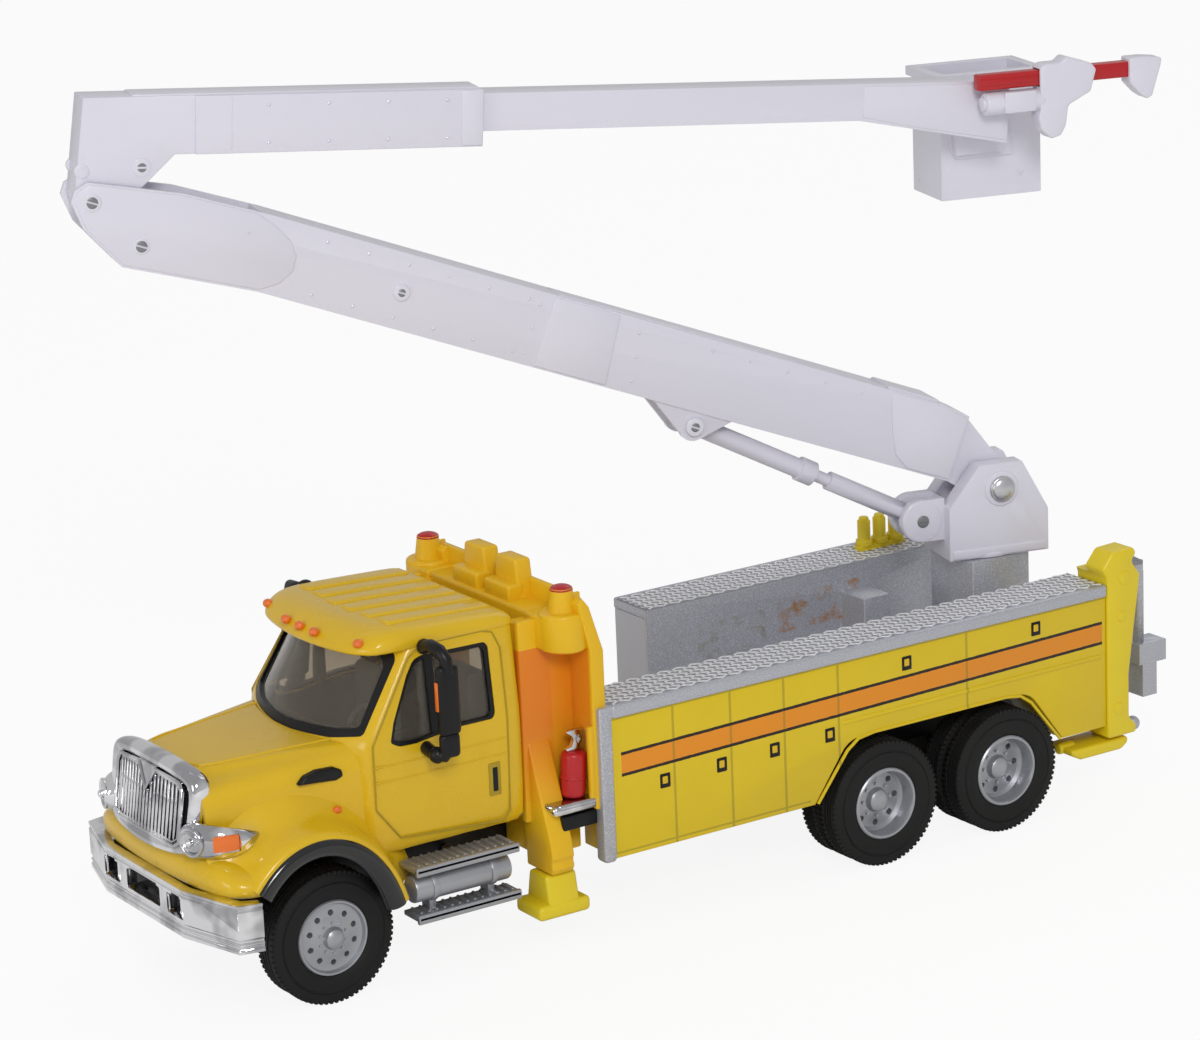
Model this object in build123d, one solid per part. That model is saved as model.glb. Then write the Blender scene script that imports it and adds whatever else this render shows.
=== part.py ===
"""Small-scale (1:87) model of a three-axle utility truck with an articulated, telescoping bucket lift.

Frame: millimetres, +X forward, +Y to the truck's left, +Z up. The origin is on the
ground under the centre of the front axle.
"""
from build123d import *
from math import atan2, cos, degrees, radians, sin
import os

os.makedirs("parts", exist_ok=True)

# ---------------------------------------------------------------- driving dimensions
# wheels and axles
tyre_radius = 6.05
rim_radius = 3.45
rim_lip = 0.45
hub_radius = 1.15
axle_radius = 0.75
axle_play = 0.05
front_tyre_width = 3.0
front_tyre_outer_y = 10.7
twin_tyre_width = 5.4
twin_groove = 0.5
rear_tyre_outer_y = 14.0
rear_axle_1_x = -57.4
rear_axle_spacing = 14.4

# chassis
rail_half_gap = 2.4
rail_thickness = 1.4
rail_bottom_z = 7.4
rail_top_z = 11.2
chassis_front_x = 9.0
chassis_rear_x = -85.2
hanger_length = 3.4
hanger_bottom_z = 4.6

# cab and hood
cab_rear_x = -20.4
cab_floor_z = 11.4
cab_half_width = 10.8
belt_z = 22.3
roof_half_width = 9.9
roof_top_z = 30.9
brow_height = 1.3
roof_fall = 0.6
cowl_x = -3.4
screen_base_x = -1.4
screen_top_x = -5.2
cab_wall = 0.8
glass_thickness = 0.4
hood_front_x = 10.2
hood_front_half_width = 8.1
hood_cowl_half_width = 9.6
hood_top_z = 22.6
hood_front_drop = 0.9
hood_bottom_z = 12.7
fender_half_width = 13.3
fender_top_z = 16.6
front_arch_radius = 8.2

# front end
grille_depth = 2.2
grille_half_width = 5.7
grille_bottom_z = 16.3
grille_top_z = 21.4
grille_lean = 0.9
lamp_bottom_z = 15.7
lamp_height = 2.9
bumper_front_x = 12.6
bumper_end_x = 8.6
bumper_half_width = 14.4
bumper_bottom_z = 8.2
bumper_top_z = 12.5
bumper_thickness = 1.0

# rack behind the cab, with the front outriggers
rack_front_x = -21.6
rack_rear_x = -27.1
rack_wall = 1.5
rack_back_z = 32.3
channel_wall = 0.9
shelf_z = 12.4
shelf_height = 1.4
leg_front_x = -20.9
leg_depth = 2.3
leg_bottom_width = 4.4
leg_bottom_z = 7.4
leg_top_z = 21.0
leg_top_inset = 6.1
leg_top_width = 1.9
foot_pocket_inset = 2.9
foot_offset = 0.7
foot_stem_depth = 1.3
foot_stem_width = 1.8
foot_pocket_top_z = 11.9
rack_inset = 0.4
rack_tower_width = 4.3
rack_top_z = 30.6
rack_beam_height = 3.6
beacon_base_radius = 2.2
beacon_base_height = 3.0
beacon_radius = 1.05
beacon_top_z = 33.3
beacon_dome_height = 0.55
ear_width = 3.4
ear_thickness = 1.4
bottle_radius = 1.1
guard_length = 1.3
ear_centre_y = 2.7
ear_top_z = 34.2
foot_drop = 3.4
outrigger_length = 3.6
outrigger_width = 4.9
outrigger_stand = 0.4
rear_foot_size = 2.2

# utility body
body_rear_x = -84.2
left_box_front_x = -27.3
right_box_front_x = -46.2
body_half_width = 13.9
box_depth = 5.2
box_bottom_z = 7.75
deck_top_z = 22.0
deck_thickness = 1.0
deck_overhang = 0.15
arch_top_z = 13.2
arch_lead = 8.1
bed_floor_z = 13.1
bed_floor_thickness = 0.6
bed_wall = 0.4
holders_from_rear = 7.9
holder_pitch = 1.9

rack_half_width = body_half_width - rack_inset

# pedestal and turret
turret_x = -80.0
pedestal_length = 7.0
pedestal_width = 6.6
pedestal_top_z = 23.4
turret_bottom_z = 23.5
turret_half_width = 3.25
spigot_radius = 1.5
spigot_length = 4.0
main_pin_u = -1.0
main_pin_z = 30.2
main_pin_radius = 0.9
main_pin_head_radius = 1.35
clevis_u = 6.7
clevis_z = 27.5
clevis_radius = 2.1
clevis_half_width = 1.9

# boom: rest angles, seen from the truck's left
boom_slew = -15.0
lower_pitch = 21.2
upper_pitch = 3.9

# lower boom
tongue_half_width = 1.1
boom_half_width = 2.6
lower_depth = 7.0
lower_underside = -0.8
lower_body_start = 5.4
elbow_s = 93.7
elbow_n = 2.9
fork_plate = 0.5
fork_length = 15.0
fork_end = 1.8
elbow_pin_radius = 0.6
lug_s = 32.4
lug_n = -2.2
lug_radius = 1.4
lug_plate = 0.7

# upper boom
upper_block_half_width = 2.0
sleeve_half_width = 2.4
sleeve_length = 35.9
sleeve_bottom = 4.0
sleeve_top = 9.2
elbow_block_length = 9.4
inner_half_width = 1.85
inner_bottom = 5.3
inner_top = 8.75
inner_reach = 88.0
inner_overlap = 6.5
tip_drop = 2.5

# lift cylinder
barrel_radius = 0.95
barrel_length = 14.4
collar_radius = 1.2
collar_length = 1.6
lift_rod_radius = 0.6
rod_eye_radius = 1.0
rod_eye_half_width = 0.6

# bucket and jib, placed along the boom's own direction
bucket_front_reach = 2.7
bucket_length = 10.4
bucket_near_v = -3.5
bucket_width = 7.0
bucket_pivot_rise = 7.9
bucket_height = 12.2
bucket_wall = 0.6
rim_flare = 0.45
rim_height = 0.9
bucket_pivot_ahead = 1.58618
bucket_pivot_up = 4.59739
jib_pivot_ahead = 0.98618
jib_pivot_up = 6.99739
jib_near_v = 2.3
jib_thickness = 2.2
jib_bar_tail = 12.9
jib_bar_length = 15.5
jib_bar_height = 1.6

# clearances
sliding_gap = 0.1
side_gap = 0.15


# ---------------------------------------------------------------- helpers
def block(x0, x1, y0, y1, z0, z1):
    """A box between two corners."""
    return Pos(x0, y0, z0) * Box(x1 - x0, y1 - y0, z1 - z0, align=(Align.MIN,) * 3)


def plate(points, y0, y1):
    """A side profile of (x, z) points, thick from y0 to y1."""
    outline = Plane.XZ.offset(-y1) * Polygon(*points, align=None)
    return extrude(outline, amount=y1 - y0, dir=(0, -1, 0))


def slab(points, z0, z1):
    """A plan outline of (x, y) points, thick from z0 to z1."""
    outline = Pos(0, 0, z0) * Polygon(*points, align=None)
    return extrude(outline, amount=z1 - z0, dir=(0, 0, 1))


def loaf(points, x0, x1):
    """A cross-section of (y, z) points, long from x0 to x1."""
    outline = Plane.YZ.offset(x0) * Polygon(*points, align=None)
    return extrude(outline, amount=x1 - x0, dir=(1, 0, 0))


def rod_y(x, z, radius, y0, y1):
    """A round bar along Y."""
    return Pos(x, (y0 + y1) / 2, z) * Rot(90, 0, 0) * Cylinder(radius, y1 - y0)


def rod_x(y, z, radius, x0, x1):
    """A round bar along X."""
    return Pos((x0 + x1) / 2, y, z) * Rot(0, 90, 0) * Cylinder(radius, x1 - x0)


def post(x, y, radius, z0, z1):
    """A round bar along Z."""
    return Pos(x, y, (z0 + z1) / 2) * Cylinder(radius, z1 - z0)


def other_side(shape):
    """The same piece on the truck's right."""
    return mirror(shape, about=Plane.XZ)


def save(node, shape):
    """Write one piece as one STEP file."""
    shape.label = node
    export_step(shape, f"parts/{node}.step")


def save_pair(name, shape):
    """Write a left piece and its mirror image."""
    save(f"{name}_left", shape)
    save(f"{name}_right", other_side(shape))


# ---------------------------------------------------------------- wheels
def tyre(outer_y, width, groove=0.0):
    """A tyre of one or two treads with shouldered edges, as a ring about the axle."""
    shoulder = 0.7
    inner_y = outer_y - width
    profile = [(rim_radius, inner_y), (tyre_radius - shoulder, inner_y), (tyre_radius, inner_y + shoulder)]
    if groove:
        middle = (inner_y + outer_y) / 2
        depth = tyre_radius - 1.6
        profile += [(tyre_radius, middle - groove), (depth, middle), (tyre_radius, middle + groove)]
    profile += [(tyre_radius, outer_y - shoulder), (tyre_radius - shoulder, outer_y), (rim_radius, outer_y)]
    section = Plane.YZ * Polygon(*[(y, r) for r, y in profile], align=None)
    return revolve(section, Axis.Y)


def rim(outer_y, width, dish, hub_rise):
    """A dished wheel disc with its hub."""
    body = rod_y(0, 0, rim_radius, outer_y - width, outer_y)
    bowl = rod_y(0, 0, rim_radius - rim_lip, outer_y - dish, outer_y)
    hub = rod_y(0, 0, hub_radius, outer_y - dish, outer_y - dish + hub_rise)
    return body - bowl + hub


def wheelset(name, x, outer_y, width, groove, dish, hub_rise):
    """One axle with a wheel pressed on each end, and its two tyres."""
    place = Pos(x, 0, tyre_radius)
    wheel = rim(outer_y, width, dish, hub_rise)
    axle_end = outer_y - width
    axle = rod_y(0, 0, axle_radius, -axle_end, axle_end)
    save(f"{name}_wheelset", place * (axle + wheel + other_side(wheel)))
    save_pair(f"{name}_tyre", place * tyre(outer_y, width, groove))


rear_axle_2_x = rear_axle_1_x - rear_axle_spacing
wheelset("front", 0, front_tyre_outer_y, front_tyre_width, 0, 0.7, 1.3)
wheelset("rear_1", rear_axle_1_x, rear_tyre_outer_y, twin_tyre_width, twin_groove, 1.9, 0.9)
wheelset("rear_2", rear_axle_2_x, rear_tyre_outer_y, twin_tyre_width, twin_groove, 1.9, 0.9)


# ---------------------------------------------------------------- chassis
def chassis():
    """Ladder frame with an axle hanger at each wheelset."""
    rail_y = rail_half_gap + rail_thickness
    frame = block(chassis_rear_x, chassis_front_x, -rail_y, rail_y, rail_bottom_z, rail_top_z)
    bays = [(chassis_rear_x + 1.5, rear_axle_2_x - 3), (rear_axle_2_x + 3, rear_axle_1_x - 3)]
    bays += [(rear_axle_1_x + 3, -31), (-29, -4), (4, chassis_front_x - 1.5)]
    for x0, x1 in bays:
        frame -= block(x0, x1, -rail_half_gap, rail_half_gap, rail_bottom_z, rail_top_z)
    half = hanger_length / 2
    for x in (0, rear_axle_1_x, rear_axle_2_x):
        frame += block(x - half, x + half, -rail_y, rail_y, hanger_bottom_z, rail_bottom_z)
        frame -= rod_y(x, tyre_radius, axle_radius + axle_play, -rail_y, rail_y)
    return frame


save("chassis_frame", chassis())


# ---------------------------------------------------------------- cab
def cab_outline(inset):
    """Cab volume, narrower above the belt and rounded in plan at the windscreen corners."""
    side = cab_half_width - inset
    roof_side = roof_half_width - inset
    rear = cab_rear_x + inset
    low = cab_floor_z + inset
    top = roof_top_z - inset
    front = screen_base_x - inset
    lean = screen_base_x - screen_top_x
    profile = [(rear, low), (cowl_x - inset, low), (cowl_x - inset, belt_z - 1), (front, belt_z)]
    profile += [(front - lean, top - 1.2), (front - lean - 1.2, top), (rear + 1, top), (rear, top - 1)]
    volume = plate(profile, -side, side)
    corner_x = screen_top_x - 1.2 - inset
    plan = [(rear, -side), (rear, side), (corner_x, side), (cowl_x - inset, side - 1.8), (front, side * 0.45)]
    plan += [(front, -side * 0.45), (cowl_x - inset, 1.8 - side), (corner_x, -side)]
    volume &= slab(plan, cab_floor_z, roof_top_z)
    section = [(-side, low), (-side, belt_z), (-roof_side, top)]
    section += [(roof_side, top), (side, belt_z), (side, low)]
    volume &= loaf(section, cab_rear_x, 0)
    return volume


def side_window_opening():
    """Both door windows, cut straight through."""
    sill = belt_z + 0.4
    head = roof_top_z - 2.8
    rear = cab_rear_x + 3.0
    points = [(rear, sill), (screen_top_x - 1.6, sill), (screen_top_x - 4.4, head), (rear, head)]
    return plate(points, -cab_half_width - 1, cab_half_width + 1)


def screen_opening():
    """Windscreen opening, cut in from the front."""
    low = belt_z + 0.3
    high = roof_top_z - 2.2
    half_low = cab_half_width - 1.9
    half_high = roof_half_width - 1.7
    face = [(-half_low, low), (half_low, low), (half_high, high), (-half_high, high)]
    return loaf(face, screen_top_x - 3.2, 2)


def rear_window_opening():
    """Window in the cab's back wall."""
    return block(cab_rear_x - 1, cab_rear_x + 2, -6, 6, belt_z + 1.2, roof_top_z - 4)


def cab_shell():
    """Hollow cab with its window openings."""
    shell = cab_outline(0) - cab_outline(cab_wall)
    shell -= side_window_opening()
    shell -= screen_opening()
    shell -= rear_window_opening()
    return shell


def roof_visor():
    """Raised roof with a curved brow over the windscreen."""
    half = roof_half_width
    plan = [(cab_rear_x + 0.6, -half + 0.6), (cab_rear_x + 0.6, half - 0.6), (-9.4, half), (-6.4, half - 1.8),
            (-4.4, half - 5.4), (-4.4, 5.4 - half), (-6.4, 1.8 - half), (-9.4, -half)]
    brow = slab(plan, roof_top_z, roof_top_z + brow_height)
    brow = chamfer(brow.faces().sort_by(Axis.Z)[-1].edges(), 0.4)
    high = roof_top_z + brow_height
    return brow - plate([(cab_rear_x, high - roof_fall), (-7, high + 0.01), (cab_rear_x, high + 1)], -20, 20)


def glazing():
    """One clear insert behind every window opening."""
    insert = cab_outline(cab_wall) - cab_outline(cab_wall + glass_thickness)
    return insert & block(cab_rear_x, 0, -cab_half_width, cab_half_width, belt_z - 0.4, roof_top_z - 1.6)


save("cab_shell", cab_shell() + roof_visor())
save("glazing", glazing())


def cab_interior():
    """Floor tub with two seats and the dashboard."""
    side = cab_half_width - cab_wall - glass_thickness - sliding_gap
    rear = cab_rear_x + cab_wall + glass_thickness + sliding_gap
    low = cab_floor_z + cab_wall
    tub = block(rear, cowl_x - cab_wall - 0.3, -side, side, low, low + 1.5)
    dash = block(cowl_x - 3.4, cowl_x - cab_wall - 0.3, 2.2 - side, side - 2.2, low + 1.5, belt_z - 1.4)
    tub += dash
    for y in (-5, 5):
        tub += block(rear + 2, rear + 8, y - 2.6, y + 2.6, low + 1.5, low + 6)
        tub += block(rear + 0.8, rear + 2.6, y - 2.6, y + 2.6, low + 1.5, belt_z + 3.4)
    lining = glass_thickness + sliding_gap
    return tub & (Pos(0, 0, -lining) * cab_outline(cab_wall + lining))


save("cab_interior", cab_interior())


# ---------------------------------------------------------------- hood and fenders
def hood_shoulder(side):
    """Bevel along the hood's upper edge on one side."""
    edge = hood_cowl_half_width
    high = hood_top_z + 0.1
    points = [(side * (edge - 3.0), high), (side * (edge + 1), high), (side * (edge + 1), hood_top_z - 3.4)]
    return loaf(points, cowl_x, hood_front_x + 1)


def valance_outline():
    """Plan of the panel that bulges forward between the bumper and the grille."""
    side = hood_front_half_width + 2.2
    front = bumper_front_x - 0.9
    back = hood_front_x - 0.6
    half = [(front, side - 4.0), (hood_front_x + 0.6, side), (back, side)]
    return half + [(x, -y) for x, y in reversed(half)]


def hood():
    """Sloping hood with both fenders, open underneath and at the wheel arches."""
    rear = cowl_x + 0.1
    top_front = hood_top_z - hood_front_drop
    low = hood_bottom_z
    profile = [(rear, low), (rear, hood_top_z), (hood_front_x, top_front), (hood_front_x, low)]
    body = plate(profile, -hood_cowl_half_width, hood_cowl_half_width)
    plan = [(rear, -hood_cowl_half_width), (rear, hood_cowl_half_width)]
    plan += [(hood_front_x, hood_front_half_width), (hood_front_x, -hood_front_half_width)]
    body &= slab(plan, hood_bottom_z, hood_top_z)
    body -= hood_shoulder(1) + hood_shoulder(-1)
    fender_front = bumper_end_x - 0.2
    fender_rear = cowl_x - 2.6
    shape = [(fender_rear, cab_floor_z - 2.2), (fender_rear, fender_top_z - 3.4)]
    shape += [(fender_rear + 2.6, fender_top_z - 0.8), (0, fender_top_z), (4.4, fender_top_z - 0.2)]
    shape += [(fender_front, fender_top_z - 2.6),
             (fender_front, hood_bottom_z), (cowl_x, hood_bottom_z)]
    fenders = plate(shape, -fender_half_width, fender_half_width)
    fenders -= block(fender_rear - 1, cowl_x + 0.1, -cab_half_width - 0.05, cab_half_width + 0.05, 0, 30)
    body += fenders
    body += block(fender_front - 0.5, hood_front_x, -hood_front_half_width - 2.4, hood_front_half_width + 2.4,
                  hood_bottom_z, fender_top_z - 1.4)
    body += slab(valance_outline(), hood_bottom_z, grille_bottom_z - 1.35)
    body -= block(rear + 1, hood_front_x - 1.2, -6.6, 6.6, hood_bottom_z - 1, hood_top_z - 2.4)
    for y0, y1 in ((-20, -6.6), (6.6, 20)):
        body -= rod_y(0, tyre_radius, front_arch_radius, y0, y1)
    return body - cab_outline(0)


save("hood", hood())


def grille():
    """Chrome grille frame, leaning back, with upright bars in its opening."""
    back = hood_front_x + 0.05
    front = back + grille_depth
    low = grille_bottom_z - 1.3
    high = grille_top_z + 1.1
    half = grille_half_width + 1.5
    side = [(back, low), (front, low), (front - grille_lean, high), (back, high)]
    shell = plate(side, -half, half)
    recess = front - grille_lean - 0.9
    shell -= block(recess, front, -grille_half_width, grille_half_width, grille_bottom_z, grille_top_z)
    bars = 16
    pitch = 2 * grille_half_width / bars
    for i in range(bars):
        y = (i + 0.5) * pitch - grille_half_width
        half = pitch * 0.26
        shell += block(recess, front - grille_lean, y - half, y + half, grille_bottom_z, grille_top_z)
    return shell


def headlamp():
    """Lamp pod that wraps round the hood's left front corner."""
    front = hood_front_x + grille_depth - 0.2
    inner = grille_half_width + 1.3
    plan = [(6.8, 8.2), (6.8, 9.8), (8.6, 10.4), (front - 1.2, 10.3), (front, 9.2), (front, inner)]
    plan += [(hood_front_x + 0.1, inner), (hood_front_x + 0.1, 8.0)]
    return slab(plan, lamp_bottom_z, lamp_bottom_z + lamp_height) - hood()


def bumper():
    """Wrap-round bumper with a centre opening and two slots."""
    side = bumper_half_width
    front = bumper_front_x
    end = bumper_end_x
    corner = side - 7.1
    t = bumper_thickness
    half = [(front, corner), (end + 2.2, side - 0.5), (end, side)]
    half += [(end, side - t), (end + 2.2 - t, side - 0.7 - t), (front - t, corner - 0.2)]
    shell = slab(half + [(x, -y) for x, y in reversed(half)], bumper_bottom_z, bumper_top_z)
    for y0, y1 in ((-2.6, 2.6), (-6.8, -5.3), (5.3, 6.8)):
        low = bumper_bottom_z + 1.6
        shell -= block(bumper_front_x - 3, bumper_front_x + 1, y0, y1, low, bumper_top_z - 0.7)
    for side in (-1, 1):
        y0, y1 = sorted((side * rail_half_gap, side * (rail_half_gap + rail_thickness)))
        shell += block(chassis_front_x, bumper_front_x - t, y0, y1, rail_bottom_z + 0.9, bumper_bottom_z + 1.5)
    return shell


save("grille", grille() + headlamp() + other_side(headlamp()))
save("bumper", bumper())


def mirror_arm():
    """Door mirror on two short arms, outside the left door."""
    x = -10.2
    y = 13.6
    body = block(x - 0.9, x + 0.9, y - 0.5, y + 0.5, belt_z, roof_top_z - 2.6)
    for z in (belt_z + 0.6, roof_top_z - 3.4):
        reach = cab_half_width - (z - belt_z) * (cab_half_width - roof_half_width) / (roof_top_z - belt_z)
        body += block(x + 0.4, x + 1.1, reach - 0.1, y, z, z + 0.7)
    return body - cab_outline(0)


def cab_step():
    """Two steps with the round tank between them, under the left door."""
    x0 = cab_rear_x + 2.4
    x1 = cowl_x - 3.8
    inner = rail_half_gap + rail_thickness
    outer = fender_half_width - 0.4
    unit = block(x0, x1, cab_half_width - 1.4, outer, 10.6, 11.1)
    unit += block(x0, x1, cab_half_width - 0.6, outer, 6.3, 6.8)
    unit += rod_x(cab_half_width + 0.5, 9.0, 1.15, x0, x1)
    for x in (x0 + 1.5, x1 - 1.5):
        unit += block(x - 0.4, x + 0.4, inner, cab_half_width + 1.2, 8.2, 9.2)
        unit += block(x - 0.4, x + 0.4, cab_half_width - 0.6, cab_half_width + 1.2, 6.3, 11.1)
    return unit


save_pair("mirror", mirror_arm())
save_pair("step_tank", cab_step())


# ---------------------------------------------------------------- rack and beacons
tower_inner_y = rack_half_width - rack_tower_width
tower_x = (rack_front_x + rack_rear_x) / 2
beacon_y = rack_half_width - beacon_base_radius


def outrigger_leg():
    """Left leg, slanting outwards from the gantry's inside, with the pocket for its foot."""
    outer = rack_half_width - 0.1
    inner = outer - leg_bottom_width
    top = rack_half_width - leg_top_inset
    shape = [(top, leg_top_z), (top + leg_top_width, leg_top_z), (outer, leg_bottom_z + 1.2)]
    shape += [(outer, leg_bottom_z), (inner, leg_bottom_z), (inner, leg_bottom_z + 1.6)]
    return loaf(shape, leg_front_x - leg_depth, leg_front_x)


def foot_stem(clearance, low, high):
    """The foot's stem, or its pocket when a clearance is given."""
    x = leg_front_x - leg_depth / 2
    half_x = foot_stem_depth / 2 + clearance
    y = rack_half_width - foot_pocket_inset
    half_y = foot_stem_width / 2 + clearance
    return block(x - half_x, x + half_x, y - half_y, y + half_y, low, high)


def tower():
    """Left channel tower, open to the side, with its shelf, lamp and leg."""
    wall_x = rack_rear_x + rack_wall
    beam_z = rack_top_z - rack_beam_height
    inner = tower_inner_y
    unit = block(rack_rear_x, rack_front_x, inner, inner + channel_wall, shelf_z - 0.8, rack_top_z)
    unit += block(rack_rear_x, wall_x, tower_inner_y, rack_half_width, shelf_z, rack_top_z)
    unit += block(rack_front_x - 0.7, rack_front_x, tower_inner_y, tower_inner_y + 1.5, shelf_z, rack_top_z)
    unit += block(rack_rear_x, rack_front_x, tower_inner_y, rack_half_width, shelf_z, shelf_z + shelf_height)
    unit += block(rack_rear_x, rack_front_x, tower_inner_y, beacon_y, beam_z, rack_top_z)
    unit += post(tower_x, beacon_y, beacon_base_radius, rack_top_z - beacon_base_height, rack_top_z + 0.5)
    lamp = post(tower_x, beacon_y, beacon_radius, rack_top_z, beacon_top_z)
    unit += fillet(lamp.edges().sort_by(Axis.Z)[-1:], beacon_dome_height)
    rail_y = rail_half_gap + rail_thickness
    x0 = rack_rear_x + 0.7
    x1 = rack_front_x - 0.7
    unit += block(x0, x1, rail_y, inner + 0.5, rail_bottom_z + 0.4, rail_top_z - 0.2)
    unit += block(x0, x1, inner, inner + 0.5, rail_bottom_z + 0.4, shelf_z)
    unit += outrigger_leg() - foot_stem(sliding_gap, 0, foot_pocket_top_z)
    unit -= foot_stem(sliding_gap, 0, foot_pocket_top_z)
    guard_x = left_box_front_x + guard_length + 0.1
    return unit - block(rack_rear_x - 1, guard_x, rack_half_width - 0.9, 20, 0, deck_top_z + 0.1)


def rack():
    """Gantry behind the cab: two towers joined by a beam with a raised back and two ears."""
    beam_z = rack_top_z - rack_beam_height
    frame = block(rack_rear_x, rack_front_x, -tower_inner_y - 0.1, tower_inner_y + 0.1, beam_z, rack_top_z)
    back = [(rack_rear_x, beam_z), (rack_rear_x + 1.3, rack_back_z), (rack_rear_x + rack_wall + 0.5, rack_back_z)]
    frame += plate(back + [(rack_rear_x + rack_wall, beam_z)], -rack_half_width, rack_half_width)
    for side in (-1, 1):
        y = side * ear_centre_y
        x = rack_rear_x + rack_wall
        half = ear_width / 2
        frame += block(x, x + ear_thickness, y - half, y + half, rack_top_z, ear_top_z)
    return frame + tower() + other_side(tower())


def front_foot():
    """Outrigger foot that slides in the left leg's pocket."""
    x = leg_front_x - leg_depth / 2
    y = rack_half_width - foot_pocket_inset + foot_offset
    stem = foot_stem(0, foot_drop + 1.2, foot_pocket_top_z - 0.2)
    pad = block(x - 2.7, x + 2.7, y - 2.1, y + 2.1, foot_drop, foot_drop + 0.8)
    pad += block(x - 1.6, x + 1.6, y - 1.6, y + 1.6, foot_drop + 0.8, foot_drop + 2.2)
    return stem + pad


save("rack", rack())
save_pair("front_foot", front_foot())


def extinguisher():
    """Red bottle with its valve plate, standing on the left tower's shelf."""
    x = rack_rear_x + rack_wall + bottle_radius + 0.1
    y = tower_inner_y + channel_wall + bottle_radius + 0.6
    foot = shelf_z + shelf_height
    bottle = post(x, y, bottle_radius, foot, foot + 4.4)
    bottle = fillet(bottle.edges().sort_by(Axis.Z)[-1:], 0.45)
    return bottle + block(x - 0.9, x + 0.9, y - 0.25, y + 0.25, foot + 4.2, foot + 6.2)


save("extinguisher", extinguisher())


# ---------------------------------------------------------------- utility body
def box_block(front_x):
    """One side's cabinet block with the arch over both rear wheels."""
    inner = body_half_width - box_depth
    top = deck_top_z - deck_thickness
    cabinet = block(body_rear_x, front_x, inner, body_half_width, box_bottom_z, top)
    a = rear_axle_1_x + arch_lead
    b = rear_axle_2_x - arch_lead + 1.2
    rise = 4.0
    outline = [(a, 0), (a, box_bottom_z), (a - rise, arch_top_z)]
    outline += [(b + rise, arch_top_z), (b, box_bottom_z), (b, 0)]
    opening = plate(outline, inner - 1, body_half_width + 1)
    opening = fillet(opening.edges().filter_by(Axis.Y).sort_by(Axis.Z)[-2:], 2.6)
    return cabinet - opening


def deck(front_x):
    """Tread-plate top of one cabinet block."""
    inner = body_half_width - box_depth - bed_wall
    outer = body_half_width + deck_overhang
    return block(body_rear_x, front_x, inner, outer, deck_top_z - deck_thickness, deck_top_z)


save("cabinet_left", box_block(left_box_front_x))
save("cabinet_right", other_side(box_block(right_box_front_x)))


def bed():
    """Bed floor on its sill, liners against the cabinets, decks, corner guard and the pedestal."""
    inner = body_half_width - box_depth
    low = bed_floor_z - bed_floor_thickness
    floor = block(body_rear_x, left_box_front_x, -inner, inner, low, bed_floor_z)
    sill = rail_half_gap + rail_thickness
    floor += block(body_rear_x, left_box_front_x, -sill, sill, rail_top_z, low)
    wall_top = deck_top_z - deck_thickness
    floor += block(body_rear_x, left_box_front_x, inner - bed_wall, inner, bed_floor_z, wall_top)
    floor += block(body_rear_x, right_box_front_x, -inner, bed_wall - inner, bed_floor_z, wall_top)
    floor += block(-72.4, -69.2, -inner + bed_wall, -4.6, bed_floor_z, 19.4)
    x0 = left_box_front_x
    y0 = body_half_width - 1.2
    y1 = body_half_width + deck_overhang
    guard = block(x0, x0 + guard_length, y0, y1, box_bottom_z, deck_top_z)
    return floor + deck(left_box_front_x) + guard + other_side(deck(right_box_front_x)) + pedestal()


def pedestal():
    """Turret pedestal with the bore that takes the turret's spigot."""
    x = turret_x
    long = pedestal_length / 2
    wide = pedestal_width / 2
    column = block(x - long, x + long, -wide, wide, bed_floor_z, pedestal_top_z)
    floor_z = pedestal_top_z - spigot_length - 0.3
    return column - post(x, 0, spigot_radius + axle_play, floor_z, pedestal_top_z)


save("bed", bed())


def deck_posts():
    """Row of three round holders on the right deck."""
    y = 2.6 - body_half_width
    x = body_rear_x + holders_from_rear
    half = 1.5 * holder_pitch - 0.15
    bar = block(x - half, x + half, y - 0.6, y + 0.6, deck_top_z, deck_top_z + 0.5)
    for step in (-1, 0, 1):
        bar += post(x + step * holder_pitch, y, 0.65, deck_top_z + 0.5, deck_top_z + 3.0)
    return bar


def rear_outrigger():
    """Fixed rear outrigger housing on the body's left rear corner."""
    x1 = body_rear_x
    x0 = body_rear_x - outrigger_length
    y1 = body_half_width + outrigger_stand
    y0 = y1 - outrigger_width
    housing = block(x0, x1, y0, y1, 6.4, 23.2)
    cap = [(x1, 20.5), (x1, 23.2), (x1 - 2.2, 25.2), (x0, 25.2), (x0 - 0.6, 22.4), (x0, 19.4)]
    housing += plate(cap, y0 + 0.5, y1 - 0.5)
    mid = (y0 + y1) / 2
    half = rear_foot_size / 2 + sliding_gap
    x = (x0 + x1) / 2
    return housing - block(x - half, x + half, mid - half, mid + half, 0, 14.0)


def rear_foot():
    """Outrigger foot that slides in the left rear housing."""
    x = body_rear_x - outrigger_length / 2
    mid = body_half_width + outrigger_stand - outrigger_width / 2
    half = rear_foot_size / 2
    stem = block(x - half, x + half, mid - half, mid + half, foot_drop + 1.5, 12.5)
    pad = block(x - 1.1, x + 6.4, mid - 2.0, mid + 2.0, foot_drop + 1.5, foot_drop + 2.8)
    return stem + pad


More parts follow.
